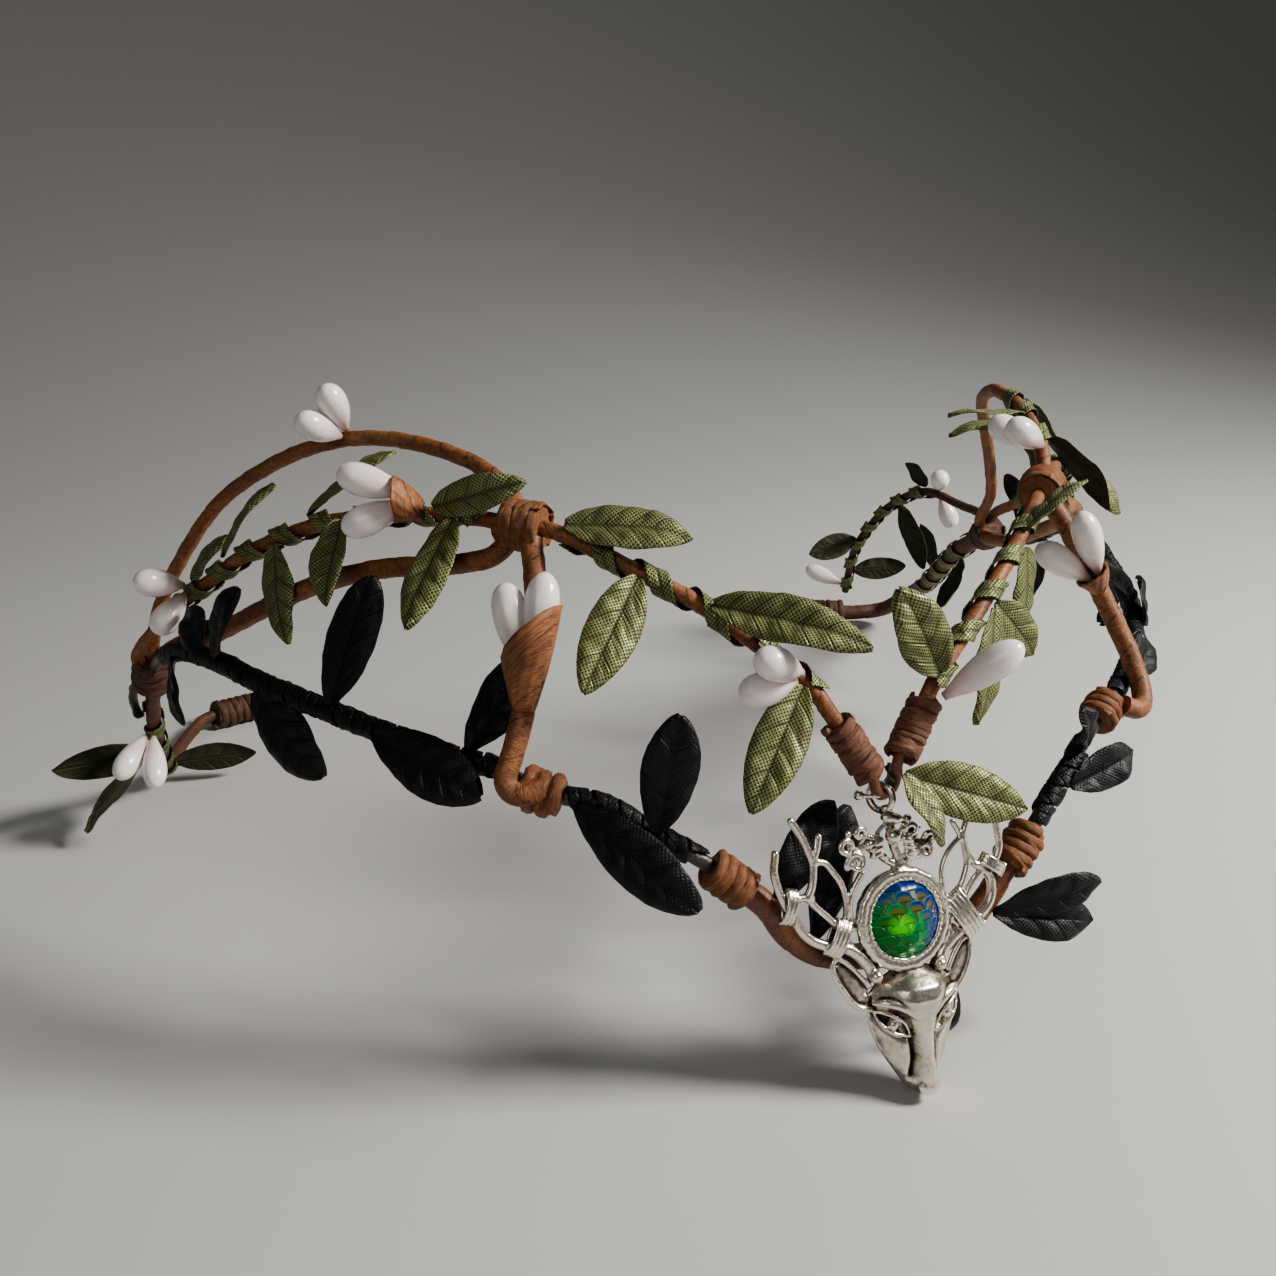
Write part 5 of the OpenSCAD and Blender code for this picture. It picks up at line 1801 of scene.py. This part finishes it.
@dataclass
class StagPendant:
    """The cast stag's head with its antlers, scrolls and stone."""

    spiral: Spiral
    lean: float = 16.5
    nose: float = 98.6
    stone_u: float = -0.7
    stone_v: float = 23.7
    stone_r: float = 5.3
    dome_r: float = 6.6
    dome_top: float = 4.5
    rim_r: float = 6.15
    stone_foot: float = 1.4
    claw_r: float = 5.36
    claw_w: float = 2.5
    claw_wide: float = 0.3
    claw_tall: float = 0.5
    claws: int = 46
    back: float = 0.15
    antler_w: float = 1.35
    scroll_w: float = 1.5
    smooth: int = 2
    broad: int = 14
    patina: float = 4.4

    def __post_init__(self) -> None:
        """Works out the pendant's plane."""
        a = math.radians(self.lean)
        self.seat = Seat(np.array([0, -self.nose, 0]), np.array([1.0, 0, 0]),
                         np.array([0, math.sin(a), math.cos(a)]), np.array([0, -math.cos(a), math.sin(a)]))

    def head(self, cast: Cast) -> None:
        """Models the skull, from its chin to its crown, as one relief.

        Args:
            cast: the mould that it goes into.
        """
        v = np.linspace(0.25, 16.9, 118)
        s = np.linspace(-1, 1, 81)
        vv, ss = np.meshgrid(v, s, indexing="ij")
        half = np.interp(vv, [0.25, .8, 1.6, 3, 5, 7, 9, 11, 13, 14.6, 16, 16.9],
                         [0.7, 1.6, 2.3, 3.1, 4.3, 5.4, 6.2, 6.6, 6.6, 6.1, 4.7, 2.6])
        crest = np.interp(vv, [0.25, .9, 2, 3.2, 6, 9, 11.5, 13.4, 15, 16.2, 16.9],
                          [1.9, 3, 3.7, 3.9, 3.9, 4.1, 4.3, 4.6, 4.2, 3, 1.8])
        ridge = np.interp(vv, [0.25, 2, 3.4, 6, 9, 11, 12.4, 14, 15.6, 16.9],
                          [1.3, 1.75, 1.35, 1.1, 1.3, 1.9, 3.1, 4.2, 4, 2.4])
        uu = ss * half
        side = np.abs(uu)
        cheek = crest * 0.6 * (1 - np.abs(ss) ** 2.6)
        w = 0.5 + cheek + crest * 0.36 * np.exp(-(side / ridge) ** 4)
        fade = eased(vv, 2.2, 3.6) * (1 - eased(vv, 11.4, 12.6))
        w -= 0.75 * fade * np.exp(-((side - ridge * 1.32) / 0.42) ** 2)
        du, dv = side - 4.15, vv - 10.7
        lean = math.radians(44)
        a = du * math.cos(lean) + dv * math.sin(lean)
        b = dv * math.cos(lean) - du * math.sin(lean)
        w -= 1.25 * np.exp(-((a / 2.5) ** 2 + (b / 1.05) ** 2) ** 1.5)
        w += 0.3 * np.exp(-((side - 3.6) / 1.5) ** 2 - ((vv - 5.6) / 2.2) ** 2)
        w -= 0.6 * np.exp(-((side - 0.75) / 0.34) ** 2 - ((vv - 1.35) / 0.3) ** 2)
        w = np.where(np.abs(ss) > 0.999, 0.6, np.maximum(w, 0.6))
        sheets = [np.stack([uu, vv, out], -1).reshape(-1, 3) for out in (np.full_like(w, self.back), w)]
        cast.shell.add(np.concatenate(sheets), plate_faces(len(v) - 1, len(s) - 1))
        cast.lump((0, 1.75, 3.15), (1.7, 1.35, 0.95))
        for k in (-1, 1):
            cast.lump((k * 4, 10.45, 2.2), (0.85, 0.85, 0.85))
            cast.stroke([(k * 1.85, 8.5, 2.75, .2), (k * 3, 8.95, 2.8, .27), (k * 4.3, 9.45, 2.6, .3),
                         (k * 5.6, 10.7, 2.1, .28), (k * 6.3, 12.1, 1.6, .2)])
            cast.stroke([(k * 1.85, 8.8, 2.75, .18), (k * 2.7, 10.5, 3.1, .24), (k * 4, 11.6, 3, .28),
                         (k * 5.4, 12.3, 2.4, .27), (k * 6.4, 12.5, 1.6, .2)])
            cast.stroke([(k * 1.4, 11.4, 3.9, .4), (k * 3, 12.8, 3.5, .6), (k * 4.8, 13.5, 2.8, .6),
                         (k * 6.2, 13.6, 1.8, .4)])

    def ears(self, cast: Cast) -> None:
        """Models the ears: a thin shell with a rolled rim.

        Args:
            cast: the mould that it goes into.
        """
        for rim, middle, size, turn in (
                (((-6.4, 12.6), (-8.4, 13.4), (-10, 15.6), (-11.2, 18.2), (-11, 19.9), (-9.6, 19.6),
                  (-7.9, 17.8), (-6.2, 15.6)), (-8.7, 16.3, 0.75), (3.7, 1.75, 0.4), 124),
                (((6.3, 12.4), (8, 14.2), (9.2, 16.4), (9.6, 18.8), (8.6, 19.2), (7, 17.6),
                  (5.8, 15.6)), (7.8, 15.9, 0.75), (3.3, 1.35, 0.4), 62)):
            cast.flat(rim, 1, 0.42, 0.34)
            cast.lump(middle, size, turn)

    def antlers(self, cast: Cast) -> None:
        """Models the antlers, their tips and the wire wound round them.

        Args:
            cast: the mould that it goes into.
        """
        for first, last, rows in (
                (.85, .6, ((-5.6, 16.9), (-6.6, 18.9), (-8.3, 20.7), (-10.2, 21.7), (-12, 22.2),
                    (-13.8, 23.1), (-15.2, 24.5), (-16, 26.2), (-16.4, 27.7), (-16.1, 28.9))),
                (.55, .6, ((-16.4, 26.9), (-17.3, 28.5), (-18, 30.5), (-18.4, 32.8), (-18, 35.1))),
                (.55, .5, ((-16.1, 28.8), (-14.7, 28.9), (-13.5, 28.7))),
                (.6, .55, ((-14.1, 28.8), (-13.4, 29.9), (-13, 31.5), (-12.9, 32.9), (-13.3, 34.4),
                    (-13.9, 36.2), (-14.7, 37.8), (-15.4, 38.9))),
                (.45, .5, ((-12.7, 33.4), (-12.1, 34.7), (-11.7, 36.3))),
                (.5, .45, ((-12.8, 33.2), (-11.2, 32.8), (-10.1, 31.4), (-9.1, 29.7), (-8.7, 27.9),
                    (-8.7, 26.2), (-9.1, 23.8))),
                (.5, .5, ((-14.2, 28.9), (-12.9, 27.3), (-11.3, 25.6), (-9.5, 23.2), (-8.2, 20.9))),
                (.42, .46, ((-8, 23.6), (-8.2, 26.4), (-7.5, 28.6), (-5.9, 30.6))),
                (.85, .6, ((4.1, 16.7), (5, 18.3), (6.5, 19.6), (8.1, 20.5), (9.8, 21.1), (11.4, 22.1),
                    (12.9, 23.4), (13.5, 25.1), (13.3, 26.9), (12.4, 28.1), (11.3, 28.8))),
                (.5, .5, ((8, 20.6), (8.9, 22.6), (9, 24.3), (10.1, 26), (11.6, 27.4), (13.1, 28))),
                (.55, .52, ((12.6, 28.1), (14.4, 28.9), (15.3, 30.7), (15.2, 32.5), (15.1, 34.2))),
                (.5, .5, ((8.8, 23.8), (8.3, 25.4), (9.3, 27.3), (10, 29.1), (9.9, 31), (9.8, 33),
                    (10.5, 34.7))),
                (.42, .45, ((6.2, 24.6), (5.9, 27.9), (6.3, 29.7), (7.4, 31.3), (8.8, 32.4), (10, 32.9))),
                (.42, .42, ((9.5, 32.7), (8.9, 34), (8.3, 35.1))),
                (.45, .42, ((11.3, 28.8), (10.4, 30.1), (10, 31.3)))):
            cast.flat(rows, self.antler_w, first, last)
        for (u0, v0), (u1, v1), turns, pitch in (
                ((-9.2, 24.9), (-11.3, 20.7), 4, 0.62),
                ((-16.1, 30.2), (-17.3, 26), 3, 0.6),
                ((6.9, 25.4), (10.6, 19.9), 5, 0.66),
                ((12.4, 29.6), (15.5, 27.3), 3, 0.6)):
            middle = np.array([(u0 + u1) / 2, (v0 + v1) / 2, self.antler_w])
            way = np.array([u1 - u0, v1 - v0, 0]) / 2
            over, out = unit(np.array([-way[1], way[0], 0])), np.array([0, 0, 1.05])
            turn = np.linspace(0, 2 * np.pi * turns, 14 * turns)
            cast.stroke([(*(middle + way * math.cos(a) + over * pitch * (a / (2 * np.pi) - turns / 2)
                            + out * math.sin(a)), 0.27) for a in turn])

    def scrolls(self, cast: Cast) -> None:
        """Models the scrolls over the stone, and the small links beside it.

        Args:
            cast: the mould that it goes into.
        """
        for u, v, first, last, start, sweep in (
                (-8.2, 34.3, 1.15, .35, -40, 500), (-6.8, 32.1, 1.4, .4, 200, -480),
                (-6, 35.8, .95, .3, -60, 420), (-3.8, 33.4, .95, .3, 160, -420),
                (3.5, 32, 1.1, .35, 210, -480), (1.7, 35.1, 1.05, .35, 240, -400),
                (4.5, 33.7, .8, .3, 180, -320), (1.4, 32.2, .9, .3, 60, 380)):
            curl = []
            for k in np.linspace(0, 1, 22):
                r, a = first + (last - first) * k, math.radians(start + sweep * k)
                curl.append((u + r * math.cos(a), v + r * math.sin(a),
                             self.scroll_w + 0.5 * math.sin(3 * k), .44 - .06 * k))
            cast.stroke(curl)
        for first, last, rows in (
                (.7, .6, ((-0.2, 29.8), (-0.4, 31.4), (-1, 33.4), (-1.2, 34.8), (-1.4, 37.6),
                    (-1.8, 38.4))),
                (.55, .42, ((-0.5, 30.6), (-2.4, 31.8), (-3.4, 32.6), (-5.2, 33.9), (-6.6, 33.6))),
                (.55, .42, ((-0.3, 30.6), (1.2, 31.4), (2.6, 33.2), (4.6, 32.9))),
                (.36, .3, ((-1, 33.8), (0.4, 34.2), (1.4, 33.6), (2.6, 34.2))),
                (.36, .3, ((-3.2, 35.4), (-2.2, 36.2), (-1.2, 35.8))),
                (.38, .34, ((6.3, 24.4), (7.5, 23.4), (6.8, 22.3), (7.7, 21.2))),
                (.36, .34, ((5.5, 19.4), (6.4, 20.8), (5.9, 22.2))),
                (.38, .34, ((-6.3, 19), (-5.6, 18.2), (-4.4, 18.4))),
                (.8, .6, ((-0.3, 15.8), (-0.3, 17.9)))):
            cast.flat(rows, self.scroll_w, first, last)
        for k, (u, v) in ((1, (-0.9, 0)), (-1, (-1.6, 0.4))):
            for rise in (33.9, 33.1, 32.3):
                cast.lump((u + k * (1.9 + 0.25 * (33.9 - rise)), rise + v, 1.9), (1.05, .42, .6), k * -12)
            cast.stroke([(u + k * 1.4, 34.2 + v, 1.9, .45), (u + k * 2.8, 34.7 + v, 1.8, .42),
                         (u + k * 4.1, 35.2 + v, 1.6, .22)])
        cast.stroke([(0.1, 35.4, 1.8, .3), (0.9, 36.2, 1.7, .35), (1.3, 36.6, 1.7, .7)])
        for *place, r in ((-1.2, 34.8, 2, 1.1), (-5.3, 40.7, 1.3, .72), (-5.6, 17, 1.9, .95),
                          (4.1, 16.8, 1.9, .95), (-4.8, 34.2, 1.8, .6), (-2.7, 32.3, 1.7, .55),
                          (-7.6, 36, 1.6, .5)):
            cast.lump(place, (r, r, r))
        cast.lump((-1, 37.1, 1.8), (1.8, .8, 1), -14)
        cast.stroke([(-5.3, 40.7, 1.3, .3), (-4.2, 40.5, 1.6, .32), (-2.9, 40.3, 2.2, .32)])
        around = np.linspace(0, 2 * np.pi, 40)
        yaw = math.radians(-60)
        cast.stroke([(-1.9 + 1.75 * math.cos(a) * math.cos(yaw), 39.9 + 1.75 * math.sin(a),
                      1 - 1.75 * math.cos(a) * math.sin(yaw), .52) for a in around])

    def rim(self, cast: Cast) -> None:
        """Models the stone's setting: a back plate, a thick outer ring and a raised inner ring.

        Args:
            cast: the mould that it goes into.
        """
        around = np.linspace(0, 2 * np.pi, 90)
        for reach, forward, thick in ((self.rim_r - .2, .7, .6), (self.rim_r, 1.75, .78), (5.3, 2.15, .34),
                                      (5.3, 1.0, .7), (4.4, .75, .6), (3.4, .75, .6), (2.4, .75, .6),
                                      (1.4, .75, .6), (.5, .75, .6)):
            wave = 0.05 * np.sin(17 * around + reach) + 0.04 * np.sin(31 * around + 1)
            cast.stroke([(self.stone_u + r * math.cos(a), self.stone_v + r * math.sin(a), forward, thick)
                         for a, r in zip(around, reach + wave)])

    def metal(self) -> None:
        """Casts the pendant and sets its fine rings."""
        cast = Cast()
        for form in (self.head, self.ears, self.antlers, self.scrolls, self.rim):
            form(cast)
        points, faces, edges = cast.set_solid()
        points = settled(points, edges, self.smooth)
        broad = settled(points, edges, self.broad)
        mesh = bpy.data.meshes.new("stag_pendant_cast")
        mesh.from_pydata((self.seat.put(points) * MM).tolist(), [], faces.tolist())
        normals = np.zeros(len(points) * 3)
        mesh.vertex_normals.foreach_get("vector", normals)
        local = self.seat.put(broad) - self.seat.put(points)
        deep = np.sum(local * normals.reshape(-1, 3), axis=1)
        hollow = np.clip(0.4 + self.patina * deep + 0.2 * eased(-points[:, 2], -1.6, -0.2), 0, 1)
        store(mesh, "hollow", hollow)
        finish = AntiqueSilver("antique_silver").material()
        mesh.materials.append(finish)
        mesh.shade_smooth()
        around = np.linspace(0, 2 * np.pi, 240, endpoint=False)
        ring = np.stack([self.stone_u + self.claw_r * np.cos(around),
                         self.stone_v + self.claw_r * np.sin(around), np.full(240, self.claw_w)], -1)
        claws = self.spiral.lay(self.spiral.claws, self.seat.put(ring), True, Count=self.claws,
                                Width=self.claw_wide * MM, Height=self.claw_tall * MM, Finish=finish)
        fit(self.spiral.piece("stag_pendant_metal", [mesh, claws]), "antique_silver", "stag_pendant")

    def stone(self) -> None:
        """Cuts the domed stone with its lattice of scales."""
        count, steps = 72, 30
        a = np.linspace(0, 2 * np.pi, count, endpoint=False)
        radii = [self.stone_r * math.cos(k / steps * math.pi / 2) for k in range(steps)]
        rise = [self.dome_top - self.dome_r + math.sqrt(self.dome_r ** 2 - r * r) for r in radii]
        rings = [np.stack([r * np.cos(a), r * np.sin(a), np.full(count, w)], -1) for r, w in (
            (radii[0], self.stone_foot), *zip(radii, rise), (radii[-1] * 0.02, rise[-1]))]
        points = np.concatenate(rings)
        shell = Shell()
        shell.add(self.seat.put(points + [self.stone_u, self.stone_v, 0]), tube_faces(len(rings), count),
                  stone=points)
        fit(shell.make("scale_cabochon", ScaleStone("scale_stone")), "scale_stone", "cabochon")

    def build(self) -> None:
        """Makes the metal and the stone."""
        self.metal()
        self.stone()


def main() -> None:
    """Builds every part of the headpiece in order."""
    logging.basicConfig(level=logging.INFO, format="%(message)s")
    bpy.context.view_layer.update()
    studio = Studio()
    studio.camera()
    wires = Frame()
    spiral = Spiral()
    dress_wires(wires, spiral)
    dress_leaves(wires, spiral)
    dress_pips(wires)
    StagPendant(spiral).build()
    studio.build()


if __name__ == "__main__":
    main()
